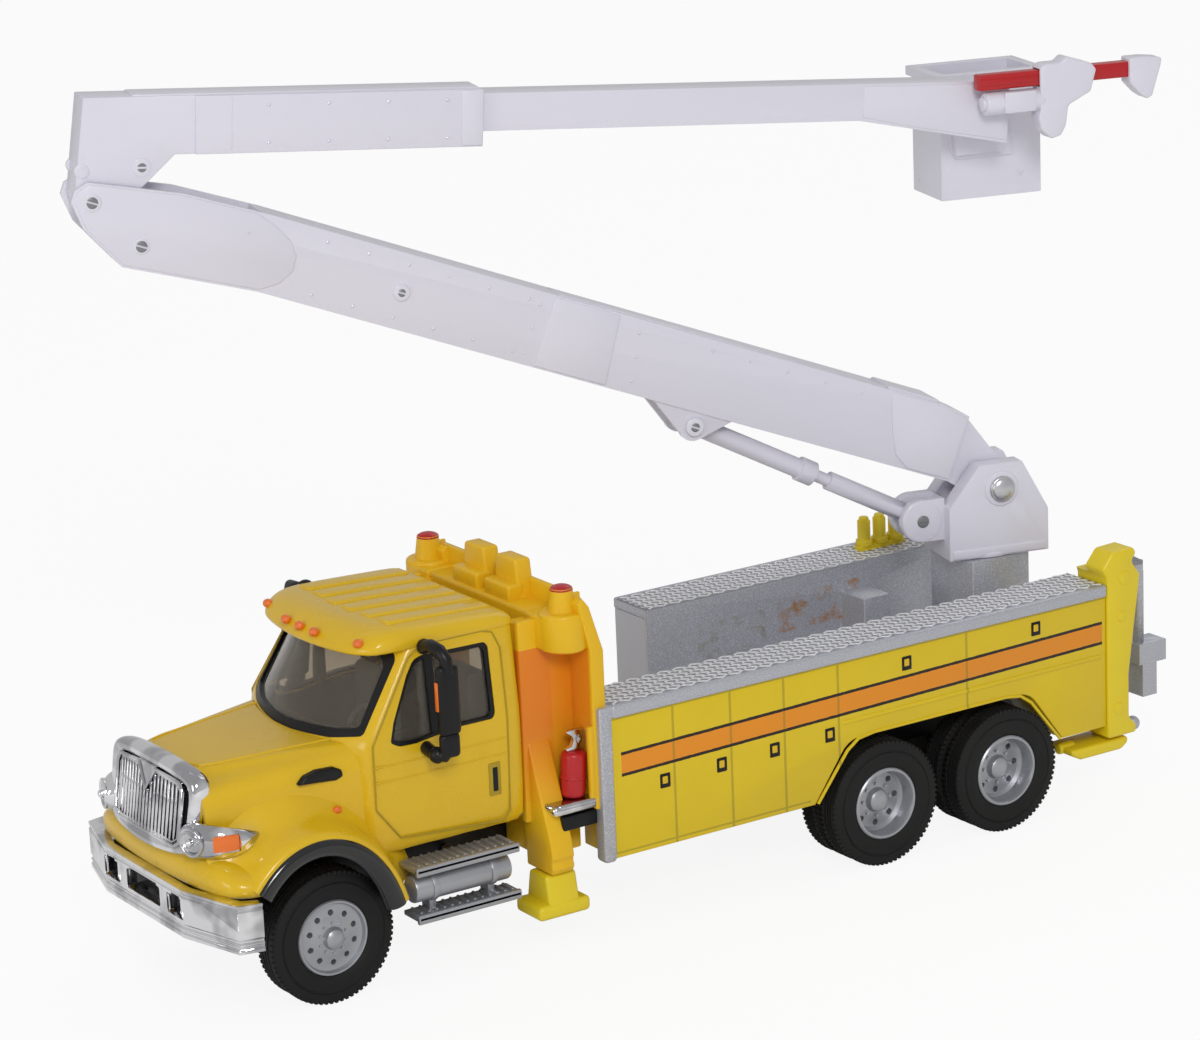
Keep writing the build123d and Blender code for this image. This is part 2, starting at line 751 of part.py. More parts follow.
def rear_frame():
    """Rear cross-beam with the pipe, lamp blocks and tow knob."""
    x = chassis_rear_x
    outer = body_half_width - 5.3
    beam = block(x - 1.2, x, -outer, outer, rail_bottom_z, rail_top_z)
    for side in (-1, 1):
        beam += post(x - 6.4, side * (outer + 1.4), 0.5, 13.9, 22.2)
        c0, c1 = sorted((side * (outer - 1.2), side * outer))
        beam += block(x - 7.9, x - 1.2, c0, c1, 8.5, rail_top_z)
        c0, c1 = sorted((side * (outer - 0.1), side * (outer + 2.4)))
        beam += block(x - 9.1, x - 5.7, c0, c1, 11.8, 13.9)
        beam += block(x - 7.9, x - 6.1, c0, c1, 8.5, 11.8)
    beam += rod_x(0, 9.2, 0.8, x - 3.2, x - 1.2)
    return beam


save("deck_posts", deck_posts())
save_pair("rear_outrigger", rear_outrigger())
save_pair("rear_foot", rear_foot())
save("rear_frame", rear_frame())

# ---------------------------------------------------------------- boom frames
slewed = Pos(turret_x, 0, 0) * Rot(0, 0, boom_slew)
lower_frame = slewed * Pos(main_pin_u, 0, main_pin_z) * Rot(0, -lower_pitch, 0)
pitch = radians(lower_pitch)
elbow_u = main_pin_u + elbow_s * cos(pitch) - elbow_n * sin(pitch)
elbow_z = main_pin_z + elbow_s * sin(pitch) + elbow_n * cos(pitch)
upper_frame = slewed * Pos(elbow_u, 0, elbow_z) * Rot(0, -upper_pitch, 0)
lug_u = main_pin_u + lug_s * cos(pitch) - lug_n * sin(pitch)
lug_z = main_pin_z + lug_s * sin(pitch) + lug_n * cos(pitch)
cylinder_span = ((lug_u - clevis_u) ** 2 + (lug_z - clevis_z) ** 2) ** 0.5


# ---------------------------------------------------------------- turret
def turret():
    """Two cheeks on a base, with the cylinder's clevis in front and a spigot below."""
    w = turret_half_width
    base_z = turret_bottom_z
    cheeks = [(4.5, base_z), (4.5, 28.7), (1.3, 32.7), (-3.2, 32.7), (-5.9, 27.7), (-5.9, base_z)]
    body = plate(cheeks, -w, w)
    slot = tongue_half_width + side_gap
    body -= block(-10, 10, -slot, slot, main_pin_z - 3.0, 40)
    half = clevis_half_width
    body += block(4.4, clevis_u, -half, half, clevis_z - clevis_radius, clevis_z + clevis_radius)
    body += rod_y(clevis_u, clevis_z, clevis_radius, -clevis_half_width, clevis_half_width)
    eye_gap = rod_eye_half_width + side_gap
    body -= block(4.5, clevis_u + 5, -eye_gap, eye_gap, clevis_z - clevis_radius - 1, 40)
    body -= rod_y(main_pin_u, main_pin_z, main_pin_radius, -w, w)
    body += post(0, 0, spigot_radius, base_z - spigot_length, base_z)
    return body


def turret_pins():
    """Main pin with a domed head at each end."""
    w = turret_half_width
    pin = rod_y(main_pin_u, main_pin_z, main_pin_radius, -w, w)
    for y0, y1 in ((-w - 0.7, -w), (w, w + 0.7)):
        pin += rod_y(main_pin_u, main_pin_z, main_pin_head_radius, y0, y1)
    return pin


save("turret", slewed * turret())
save("main_pin", slewed * turret_pins())


# ---------------------------------------------------------------- lower boom
def lower_boom():
    """Box boom with a tongue at the turret, lugs below and a fork at the elbow."""
    w = boom_half_width
    top = lower_underside + lower_depth
    fork = elbow_s - fork_length
    end = elbow_s + fork_end
    start = lower_body_start
    low = lower_underside
    outline = [(start, low), (end - 18.7, low), (end - 6.1, -1.9), (end - 1.8, 0.4), (end, 2.4)]
    outline += [(end, 3.5), (end - 0.9, 4.5), (end - 9.5, 5.9), (fork - 1, top), (start + 3.2, top), (start, top - 0.4)]
    boom = plate(outline, -w, w)
    slot = w - fork_plate
    boom -= block(fork, elbow_s + 10, -slot, slot, 0.2, 20)
    boom -= block(elbow_s - 3.2, elbow_s + 10, -slot, slot, -10, 20)
    root = [(0, -2.1), (start, low), (start, top - 0.4), (1.0, 3.0), (-1.2, 2.0)]
    tongue = plate(root, -tongue_half_width, tongue_half_width)
    boom += tongue + rod_y(0, 0, 2.1, -tongue_half_width, tongue_half_width)
    boom -= rod_y(0, 0, main_pin_radius + axle_play, -w, w)
    ear = [(lug_s - 3.6, low), (lug_s - 1.0, lug_n - 1.0), (lug_s + 1.1, lug_n - 0.9), (lug_s + 4.6, low)]
    for y0, y1 in ((-w + 0.2, -w + 0.2 + lug_plate), (w - 0.2 - lug_plate, w - 0.2)):
        boom += plate(ear, y0, y1)
        boom += rod_y(lug_s, lug_n, lug_radius, y0, y1)
    boom -= block(lug_s - 5.5, lug_s + 2.4, 0.9 - w, w - 0.9, -10, lower_underside)
    return boom + rod_y(elbow_s, elbow_n, elbow_pin_radius, -w - 0.15, w + 0.15)


save("lower_boom", lower_frame * lower_boom())


# ---------------------------------------------------------------- lift cylinder
cylinder_angle = degrees(atan2(clevis_z - lug_z, clevis_u - lug_u))
cylinder_frame = slewed * Pos(lug_u, 0, lug_z) * Rot(0, -cylinder_angle, 0)


def barrel():
    """Cylinder barrel with its eye between the boom's lugs."""
    eye_half = boom_half_width - 0.9 - side_gap
    tube = rod_x(0, 0, barrel_radius, 0.9, barrel_length)
    tube += rod_x(0, 0, collar_radius, barrel_length - collar_length, barrel_length)
    tube += rod_y(0, 0, 1.1, -eye_half, eye_half)
    return tube - rod_x(0, 0, lift_rod_radius + sliding_gap, 2.0, barrel_length)


def lift_rod():
    """Rod with the eye that sits in the turret's clevis."""
    tail = 4.0
    bar = rod_x(0, 0, lift_rod_radius, tail, cylinder_span)
    return bar + rod_y(cylinder_span, 0, rod_eye_radius, -rod_eye_half_width, rod_eye_half_width)


save("lift_barrel", cylinder_frame * barrel())
save("lift_rod", cylinder_frame * lift_rod())


# ---------------------------------------------------------------- upper boom
def upper_boom():
    """Elbow block and the sleeve that the inner boom slides in."""
    h = upper_block_half_width
    end = -elbow_block_length
    outline = [(end, sleeve_bottom), (-7.6, sleeve_bottom), (-4.4, 0.9), (-1.2, -0.9), (0.9, -1.2)]
    outline += [(1.4, 0.4), (0.6, sleeve_top), (end, sleeve_top)]
    boom = plate(outline, -h, h)
    boom -= rod_y(0, 0, elbow_pin_radius + axle_play, -h, h)
    w = sleeve_half_width
    boom += block(-sleeve_length, -elbow_block_length, -w, w, sleeve_bottom, sleeve_top)
    g = sliding_gap
    boom -= block(-sleeve_length, -elbow_block_length + 0.3, -inner_half_width - g, inner_half_width + g,
                  inner_bottom - g, inner_top + g)
    return boom


def inner_boom():
    """Telescoping inner boom with its deeper tip and the pivot studs."""
    tail = inner_overlap - sleeve_length
    w = inner_half_width
    low_tip = inner_bottom - tip_drop
    outline = [(tail, inner_bottom), (tail, inner_top), (-inner_reach, inner_top), (-inner_reach, low_tip),
               (-inner_reach + 10, low_tip + 1.6), (-inner_reach + 15.2, inner_bottom)]
    return plate(outline, -w, w)


def in_upper(u, z):
    """A boom-plane point given in the upper boom's own frame."""
    a = radians(upper_pitch)
    du = u - elbow_u
    dz = z - elbow_z
    return du * cos(a) + dz * sin(a), dz * cos(a) - du * sin(a)


tip_u = elbow_u - inner_reach * cos(radians(upper_pitch))
tip_z = elbow_z - inner_reach * sin(radians(upper_pitch))
bucket_pivot_u = tip_u + bucket_pivot_ahead
bucket_pivot_z = tip_z + bucket_pivot_up
jib_pivot_u = tip_u + jib_pivot_ahead
jib_pivot_z = tip_z + jib_pivot_up
bucket_x, bucket_w = in_upper(bucket_pivot_u, bucket_pivot_z)
jib_x, jib_w = in_upper(jib_pivot_u, jib_pivot_z)
inner = inner_boom()
inner += rod_y(bucket_x, bucket_w, 0.7, bucket_near_v + bucket_wall + 0.1, -inner_half_width)
inner += rod_y(jib_x, jib_w, 0.6, inner_half_width, jib_near_v + jib_thickness - 0.5)
save("upper_boom", upper_frame * upper_boom())
save("inner_boom", upper_frame * inner)


# ---------------------------------------------------------------- bucket and jib
def bucket():
    """Open work bucket with a flared rim and a pivot pad on its boom side."""
    u1 = bucket_pivot_u + bucket_front_reach
    u0 = u1 - bucket_length
    v0 = bucket_near_v - bucket_width
    z0 = bucket_pivot_z - bucket_pivot_rise
    z1 = z0 + bucket_height
    t = bucket_wall
    r = rim_flare
    shell = block(u0, u1, v0, bucket_near_v, z0, z1)
    shell += block(u0 - r, u1 + r, v0 - r, bucket_near_v + r, z1 - rim_height, z1)
    shell -= block(u0 + t, u1 - t, v0 + t, bucket_near_v - t, z0 + t, z1)
    pad_front = bucket_near_v + 1.1
    pad_z = bucket_pivot_z - 3.4
    shell += block(bucket_pivot_u - 3.2, bucket_pivot_u + 1.6, bucket_near_v, pad_front, pad_z, pad_z + 4.8)
    bore_end = bucket_near_v + bucket_wall * 0.5 - 0.5
    return shell - rod_y(bucket_pivot_u, bucket_pivot_z, 0.75, bore_end, pad_front)


def jib_head():
    """Jib head beside the boom tip, with its drum and a square passage for the bar."""
    v0 = jib_near_v
    v1 = jib_near_v + jib_thickness
    outline = [(-4.1, 3.4), (-9.9, 3.4), (-9.9, 0.4), (-8.0, 0.4), (-6.9, -3.4), (-5.8, -3.8)]
    outline += [(-3.4, -2.4), (-3.7, -0.9), (-3.7, 1.2)]
    head = Pos(jib_pivot_u, 0, jib_pivot_z) * plate(outline, v0, v1)
    head += rod_x((v0 + v1) / 2, jib_pivot_z, 1.05, jib_pivot_u - 4.1, jib_pivot_u + 1.7)
    head -= rod_y(jib_pivot_u, jib_pivot_z, 0.65, v0 - 1, v1 - 0.45)
    return head


def jib_bar():
    """Red bar lying through the head."""
    v0 = jib_near_v + 0.4
    v1 = jib_near_v + jib_thickness - 0.4
    tail = jib_pivot_u - jib_bar_tail
    low = jib_pivot_z + 1.3
    return block(tail, tail + jib_bar_length, v0, v1, low, low + jib_bar_height)


def jib_tip():
    """White end fitting on the jib bar."""
    v0 = jib_near_v
    v1 = jib_near_v + jib_thickness
    outline = [(0, 3.2), (-3.5, 3.0), (-2.4, -0.8), (-1.8, -0.9), (0, 0.6)]
    return Pos(jib_pivot_u - jib_bar_tail, 0, jib_pivot_z) * plate(outline, v0, v1)


bar = jib_bar()
save("bucket", slewed * bucket())
save("jib_head", slewed * (jib_head() - bar))
save("jib_bar", slewed * bar)
save("jib_tip", slewed * jib_tip())
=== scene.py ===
"""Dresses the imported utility-truck model: detailed pieces, finishes, floor, lights and camera.

Sizes are written in millimetres of the 1:87 model and turned into metres as pieces are made.
"""

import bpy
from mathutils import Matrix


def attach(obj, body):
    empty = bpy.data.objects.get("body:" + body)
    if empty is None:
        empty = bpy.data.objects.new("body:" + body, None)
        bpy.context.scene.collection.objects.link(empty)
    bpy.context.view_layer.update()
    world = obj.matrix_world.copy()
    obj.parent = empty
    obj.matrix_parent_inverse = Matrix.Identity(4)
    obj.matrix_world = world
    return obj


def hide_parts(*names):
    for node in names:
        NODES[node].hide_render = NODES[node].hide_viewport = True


bl_info = {
    "name": "Bucket Truck Model",
    "version": (1, 0, 0),
    "blender": (4, 5, 0),
    "location": "View3D > Sidebar > Truck",
    "description": "Builds the detailed pieces and finishes of a small-scale bucket truck",
    "category": "Object",
}

from math import atan2, cos, hypot, pi, radians, sin

import bpy
from bpy.props import FloatProperty, FloatVectorProperty, IntProperty, PointerProperty
from mathutils import Matrix, Vector

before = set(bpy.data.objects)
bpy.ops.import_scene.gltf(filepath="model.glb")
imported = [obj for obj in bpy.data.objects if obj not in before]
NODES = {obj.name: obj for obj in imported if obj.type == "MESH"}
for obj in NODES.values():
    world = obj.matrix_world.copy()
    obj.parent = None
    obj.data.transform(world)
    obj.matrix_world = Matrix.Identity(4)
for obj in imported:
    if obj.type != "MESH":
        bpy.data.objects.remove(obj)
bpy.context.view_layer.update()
MM = 0.001
SIDES = ((1, "left"), (-1, "right"))
WELD, FINE_WELD = 1e-6, 1e-7
FINISHES = {}


# ---------------------------------------------------------------- object tools
def deselect():
    """Nothing selected."""
    bpy.ops.object.select_all(action="DESELECT")


def only(obj):
    """obj alone selected and active."""
    deselect()
    obj.select_set(True)
    bpy.context.view_layer.objects.active = obj
    return obj


def modify(obj, kind, **settings):
    """Adds one modifier and applies it."""
    only(obj)
    mod = obj.modifiers.new(kind, kind)
    for key, value in settings.items():
        setattr(mod, key, value)
    bpy.ops.object.modifier_apply(modifier=mod.name)
    return obj


def in_edit(obj, *steps):
    """Runs edit-mode steps with everything selected."""
    only(obj)
    bpy.ops.object.mode_set(mode="EDIT")
    select_all()
    for step in steps:
        step()
    bpy.ops.object.mode_set(mode="OBJECT")
    return obj


def select_all():
    """Every point selected."""
    bpy.ops.mesh.select_all(action="SELECT")


def outward():
    """Normals recalculated to face out."""
    bpy.ops.mesh.normals_make_consistent(inside=False)


def weld(reach=WELD):
    """Points closer than reach merged."""
    bpy.ops.mesh.remove_doubles(threshold=reach)


def settle(obj):
    """Moves the object's place into its mesh."""
    only(obj)
    bpy.ops.object.transform_apply(location=True, rotation=True, scale=True)
    return obj


def soften(obj, width, segments=2, angle=28):
    """Rounds the sharp edges by width millimetres."""
    return modify(obj, "BEVEL", width=width * MM, segments=segments, limit_method="ANGLE",
                  angle_limit=radians(angle), use_clamp_overlap=True, miter_outer="MITER_ARC")


def smooth(obj, angle=32):
    """Smooth shading up to an angle."""
    only(obj)
    bpy.ops.object.shade_smooth_by_angle(angle=radians(angle))
    return obj


def merge(*pieces):
    """Several pieces as one object."""
    deselect()
    for piece in pieces:
        piece.select_set(True)
    bpy.context.view_layer.objects.active = pieces[0]
    if len(pieces) > 1:
        bpy.ops.object.join()
    return pieces[0]


def twin(obj):
    """A copy with a mesh of its own."""
    copy = obj.copy()
    copy.data = obj.data.copy()
    bpy.context.scene.collection.objects.link(copy)
    return copy


def moved(obj, matrix):
    """Places a piece by a matrix, in its mesh."""
    obj.data.transform(matrix)
    obj.data.update()
    return obj


def shift(x, y, z):
    """A move in millimetres."""
    return Matrix.Translation((x * MM, y * MM, z * MM))


def mirrored(obj):
    """A piece moved to its mirror place on the truck's other side."""
    moved(obj, Matrix.Diagonal((1, -1, 1, 1)))
    return in_edit(obj, bpy.ops.mesh.flip_normals)


def both(obj):
    """A piece and its mirror image as one."""
    return merge(obj, mirrored(twin(obj)))


def on_side(obj, side):
    """A piece modelled on the left, brought to the side it belongs to."""
    return obj if side > 0 else mirrored(obj)


def cut(obj, *cutters, mode="DIFFERENCE"):
    """Takes cutters out of obj, or keeps what they share, and removes them."""
    for cutter in cutters:
        modify(obj, "BOOLEAN", operation=mode, object=cutter, solver="EXACT")
        bpy.data.objects.remove(cutter)
    return obj


# ---------------------------------------------------------------- shapes
def turns(count):
    """Angles spaced evenly round a full turn."""
    return [i * 2 * pi / count for i in range(count)]


def brick(x0, x1, y0, y1, z0, z1, round_by=0.0, segments=2):
    """A box between two corners, its edges rounded."""
    deselect()
    bpy.ops.mesh.primitive_cube_add(size=1, location=((x0 + x1) / 2 * MM, (y0 + y1) / 2 * MM, (z0 + z1) / 2 * MM),
                                    scale=((x1 - x0) * MM, (y1 - y0) * MM, (z1 - z0) * MM))
    obj = settle(bpy.context.active_object)
    if round_by:
        soften(obj, round_by, segments)
    return obj


def profile(points, axis, low, high, round_by=0.0, segments=2, angle=28):
    """An outline seen along axis, thick from low to high.

    Points are (x, z) along Y, (x, y) along Z and (y, z) along X.
    """
    deselect()
    bpy.ops.mesh.primitive_circle_add(vertices=len(points), radius=0.001, fill_type="NGON")
    obj = bpy.context.active_object
    lift = {"X": lambda p, t: (t, p[0], p[1]),
            "Y": lambda p, t: (p[0], t, p[1]),
            "Z": lambda p, t: (p[0], p[1], t)}[axis]
    for vertex, point in zip(obj.data.vertices, points):
        vertex.co = Vector(lift(point, low)) * MM
    travel = Vector(lift((0, 0), high - low)) * MM
    in_edit(obj, lambda: bpy.ops.mesh.extrude_region_move(TRANSFORM_OT_translate={"value": travel}), select_all,
            outward)
    if round_by:
        soften(obj, round_by, segments, angle)
    return obj


def drum(centre, radius, axis, low, high, sides=32, round_by=0.0, segments=2):
    """A round bar along an axis; centre gives the two other coordinates in order."""
    a, b = centre
    mid = (low + high) / 2
    place = {"X": (mid, a, b), "Y": (a, mid, b), "Z": (a, b, mid)}[axis]
    turn = {"X": (0, pi / 2, 0), "Y": (pi / 2, 0, 0), "Z": (0, 0, 0)}[axis]
    deselect()
    bpy.ops.mesh.primitive_cylinder_add(vertices=sides, radius=radius * MM, depth=abs(high - low) * MM,
                                        location=[c * MM for c in place], rotation=turn)
    obj = settle(bpy.context.active_object)
    if round_by:
        soften(obj, round_by, segments)
    return obj


def ball(centre, radius, squash=(1, 1, 1), sides=24):
    """A rounded knob."""
    deselect()
    bpy.ops.mesh.primitive_uv_sphere_add(segments=sides, ring_count=sides // 2, radius=radius * MM,
                                         location=[c * MM for c in centre], scale=squash)
    return settle(bpy.context.active_object)


def spun(obj, steps, copies, *after):
    """Turns an outline round the Y axis, or spaces copies of a piece evenly round it."""
    return in_edit(obj, lambda: bpy.ops.mesh.spin(steps=steps, angle=2 * pi, center=(0, 0, 0), axis=(0, 1, 0),
                                                  dupli=copies), select_all, weld, *after)


def lathe(points, steps):
    """A closed outline of (radius, y) points turned round the Y axis."""
    deselect()
    bpy.ops.mesh.primitive_circle_add(vertices=len(points), radius=0.001, fill_type="NOTHING")
    obj = bpy.context.active_object
    for vertex, (r, y) in zip(obj.data.vertices, points):
        vertex.co = Vector((0, y, r)) * MM
    return spun(obj, steps, False, outward)


def round_about(obj, count):
    """Copies of a piece spaced evenly round the Y axis."""
    return spun(obj, count, True)


def tube(points, radius, sides=10, closed=False):
    """A round wire through points."""
    curve = bpy.data.curves.new("wire", "CURVE")
    curve.dimensions = "3D"
    spline = curve.splines.new("POLY")
    spline.points.add(len(points) - 1)
    for p, point in zip(spline.points, points):
        p.co = (point[0] * MM, point[1] * MM, point[2] * MM, 1)
    spline.use_cyclic_u = closed
    curve.bevel_depth = radius * MM
    curve.bevel_resolution = max(1, sides // 4)
    curve.use_fill_caps = not closed
    obj = bpy.data.objects.new("wire", curve)
    bpy.context.scene.collection.objects.link(obj)
    only(obj)
    bpy.ops.object.convert(target="MESH")
    return in_edit(bpy.context.active_object, weld, outward)


def skin(rows):
    """A surface through rows of points, made from a grid."""
    count, length = len(rows), len(rows[0])
    deselect()
    bpy.ops.mesh.primitive_grid_add(x_subdivisions=length - 1, y_subdivisions=count - 1, size=0.001)
    obj = bpy.context.active_object
    for index, vertex in enumerate(obj.data.vertices):
        vertex.co = Vector(rows[index // length][index % length]) * MM
    return obj


def rounded(obj, levels=2):
    """Subdivided smooth."""
    return modify(obj, "SUBSURF", levels=levels, render_levels=levels)


def sheet(rows, thickness, offset=0):
    """A smooth thin plate through rows of points."""
    obj = rounded(skin(rows))
    in_edit(obj, outward)
    return modify(obj, "SOLIDIFY", thickness=thickness * MM, offset=offset)


def closed(rows, levels=2):
    """A smooth closed body through rings of points."""
    obj = in_edit(skin(rows), lambda: weld(FINE_WELD), lambda: bpy.ops.mesh.fill_holes(sides=0), outward)
    return rounded(obj, levels)


def carried(node, round_by=0.12, segments=2, angle=25):
    """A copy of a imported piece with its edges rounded."""
    source = NODES[node]
    obj = bpy.data.objects.new(node + "_copy", source.data.copy())
    bpy.context.scene.collection.objects.link(obj)
    in_edit(obj, weld, lambda: bpy.ops.mesh.dissolve_limited(angle_limit=radians(1)))
    if round_by:
        soften(obj, round_by, segments, angle)
    return obj


def dress(obj, name, finish, *stands_for, body="chassis", angle=32, shade=True):
    """Names a finished piece and gives it its finish as its material, and its body."""
    settle(obj)
    if shade:
        smooth(obj, angle)
    obj.name = name
    obj.data.name = name
    slot, material = FINISHES[finish]
    obj.data.materials.clear()
    obj.data.materials.append(material)
    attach(obj, body)
    if stands_for:
        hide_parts(*stands_for)
    return obj


# ---------------------------------------------------------------- finishes
PER_METRE = 1000
DULL = 0.3


class Value:
    """A socket whose sums make Math nodes."""

    def __init__(self, graph, socket):
        self.graph = graph
        self.socket = socket

    def math(self, operation, *others, swap=False):
        values = [self, *others]
        if swap:
            values.reverse()
        return self.graph.node("ShaderNodeMath", {"operation": operation}, *values)

    def __add__(self, other):
        return self.math("ADD", other)

    __radd__ = __add__

    def __mul__(self, other):
        return self.math("MULTIPLY", other)

    __rmul__ = __mul__

    def __sub__(self, other):
        return self.math("SUBTRACT", other)

    def __rsub__(self, other):
        return self.math("SUBTRACT", other, swap=True)

    def __truediv__(self, other):
        return self.math("DIVIDE", other)

    def above(self, other):
        return self.math("GREATER_THAN", other)

    def below(self, other):
        return self.math("LESS_THAN", other)

    def size(self):
        return self.math("ABSOLUTE")

    def clip(self):
        return self.graph.node("ShaderNodeClamp", {}, self, 0.0, 1.0)

    def band(self, low, high):
        """1 between two values."""
        return self.above(low) * self.below(high)


class Graph:
    """A node tree, and the method that adds every node to it."""

    def __init__(self, tree):
        self.tree = tree

    def node(self, kind, settings, *values, out=0, **named):
        """Adds a node: settings first, then the values or links of its sockets."""
        node = self.tree.nodes.new(kind)
        for key, value in settings.items():
            if key == "stops":
                ramp = node.color_ramp
                while len(ramp.elements) < len(value):
                    ramp.elements.new(0.5)
                for element, (at, tone) in zip(ramp.elements, value):
                    element.position = at
                    element.color = (tone, tone, tone, 1)
            else:
                setattr(node, key, value)
        for index, value in [*enumerate(values), *named.items()]:
            if value is not None:
                self.feed(node.inputs[index.replace("_", " ") if isinstance(index, str) else index], value)
        return Value(self, node.outputs[out])

    def feed(self, socket, value):
        if isinstance(value, Value):
            self.tree.links.new(value.socket, socket)
        else:
            socket.default_value = value


class Finish(Graph):
    """One surface finish and the few nodes that make it."""

    def __init__(self, name, slot, color, roughness=0.4, metallic=0.0, coat=0.0, coat_roughness=0.05):
        material = bpy.data.materials.new(name)
        material.use_nodes = True
        super().__init__(material.node_tree)
        self.shader = self.tree.nodes["Principled BSDF"]
        self.color = color
        self.set("Base Color", (*color, 1))
        self.set("Roughness", roughness)
        self.set("Metallic", metallic)
        self.set("Coat Weight", coat)
        self.set("Coat Roughness", coat_roughness)
        FINISHES[name] = (slot, material)
        self.place = self.node("ShaderNodeTexCoord", {}, out="Object")
        parts = self.node("ShaderNodeSeparateXYZ", {}, self.place).socket.node.outputs
        self.x, self.y, self.z = (Value(self, part) * PER_METRE for part in parts)

    def set(self, socket, value):
        self.feed(self.shader.inputs[socket], value)

    def noise(self, scale, detail=3.0, roughness=0.55):
        """Noise with its scale in features per millimetre."""
        return self.node("ShaderNodeTexNoise", {"noise_dimensions": "3D"}, Vector=self.place,
                         Scale=scale * PER_METRE, Detail=detail, Roughness=roughness)

    def mix(self, factor, first, second):
        """first where factor is 0, second where it is 1."""
        tones = [tone if isinstance(tone, Value) else (*tone, 1) for tone in (first, second)]
        return self.node("ShaderNodeMix", {"data_type": "RGBA"}, factor, *[None] * 5, *tones, out=2)

    def ramp(self, value, low, high):
        """0 below low, 1 above high."""
        return self.node("ShaderNodeValToRGB", {"stops": ((low, 0.0), (high, 1.0))}, value)

    def bump(self, height, strength=0.3, distance=0.05):
        """Relief from a height."""
        self.set("Normal", self.node("ShaderNodeBump", {}, Strength=strength, Distance=distance * MM, Height=height,
                                     out="Normal"))


SEAMS = (-33.85, -40.1, -46.05, -52.2, -67.2)


def shade(color, factor):
    """A colour made lighter or darker."""
    return tuple(min(1.0, c * factor) for c in color)


def speckled(finish, depth=0.06, roughness=0.3, spread=0.12, bump=0.06):
    """Slight unevenness of colour, gloss and surface, as on a moulded or sprayed toy."""
    cloud = finish.noise(0.24, 4)
    grain = finish.noise(4.8, 2)
    finish.set("Base Color", finish.mix(cloud, shade(finish.color, 1 - depth), shade(finish.color, 1 + depth)))
    finish.set("Roughness", cloud * spread + (roughness - spread / 2))
    finish.bump(grain, bump, 0.02)
    return cloud, grain


def cab_paint(look):
    """Glossy die-cast paint of the cab and hood."""
    f = Finish("cab paint", "yellow_paint", look.cab_paint, coat=0.3, coat_roughness=0.04)
    f.set("Specular IOR Level", DULL)
    speckled(f, roughness=0.28)


def cabinet_paint(look):
    """Cabinet paint: orange band between two dark lines, painted olive shade in the door gaps, silver front end on
    the right block.
    """
    color = tuple(look.cabinet_paint)
    f = Finish("cabinet paint", "yellow_paint", color, coat=0.15)
    f.set("Specular IOR Level", DULL)
    cloud, grain = speckled(f, roughness=0.32)
    middle = f.z + f.x * 0.0163 - 15.95
    ragged = f.noise(2.2, 2)
    side = f.y.size().above(13.72)
    seam = None
    for x in SEAMS:
        line = (f.x - x).size().below(0.13)
        seam = line if seam is None else seam + line
    ends = f.x.band(-83.7, -28.2)
    orange = middle.band(-0.86, 0.86) * ends
    lines = (middle.size() - 1.0).size().below(ragged * 0.07 + 0.11) * ends
    low = (f.z - 8.25).size().below(0.09) * f.x.above(-48.8)
    high = (f.z - 20.75).size().below(0.09)
    gap = (seam + low + high).clip() * side
    base = f.mix(cloud, shade(color, 0.95), shade(color, 1.04))
    base = f.mix(orange * side, base, look.stripe_paint)
    base = f.mix(lines * side, base, (0.02, 0.012, 0.008))
    # Painted shade: the door gaps are mixed half way towards a dark olive.
    base = f.mix(gap * (1 - lines) * 0.5, base, (0.24, 0.20, 0.02))
    front = f.x.above(-46.32) * f.y.below(-5.0)
    f.set("Base Color", f.mix(front, base, look.silver_paint))
    f.bump(grain * 0.15 - gap, 0.5, 0.05)


def rack_plastic(look):
    """Slightly clear yellow plastic of the rack, with dark orange painted in as shade in its channels and on its
    lower front.
    """
    color = tuple(look.rack_plastic)
    f = Finish("rack plastic", "yellow_plastic", color)
    cloud, _ = speckled(f, roughness=0.34)
    inside = ((f.y.size() - 8.9) * 1.5).clip() * (1 - ((f.y.size() - 13.0) * 4.0).clip())
    upright = f.z.band(13.6, 27.6) * f.x.above(-25.9)
    rise = ((f.z - 11.5) * 0.1).clip()
    front = f.z.below(27.6) * f.x.above(-23.6) * rise
    # Painted shade: the channel walls and the lower front turn dark orange where they lie in shade, plus a little
    # random orange.
    recess_shade = (inside * upright * rise * 0.8 + front * 0.3 + (1 - cloud) * 0.1).clip()
    f.set("Base Color", f.mix(recess_shade, color, (0.76, 0.22, 0.012)))
    f.set("Specular IOR Level", 0.35)


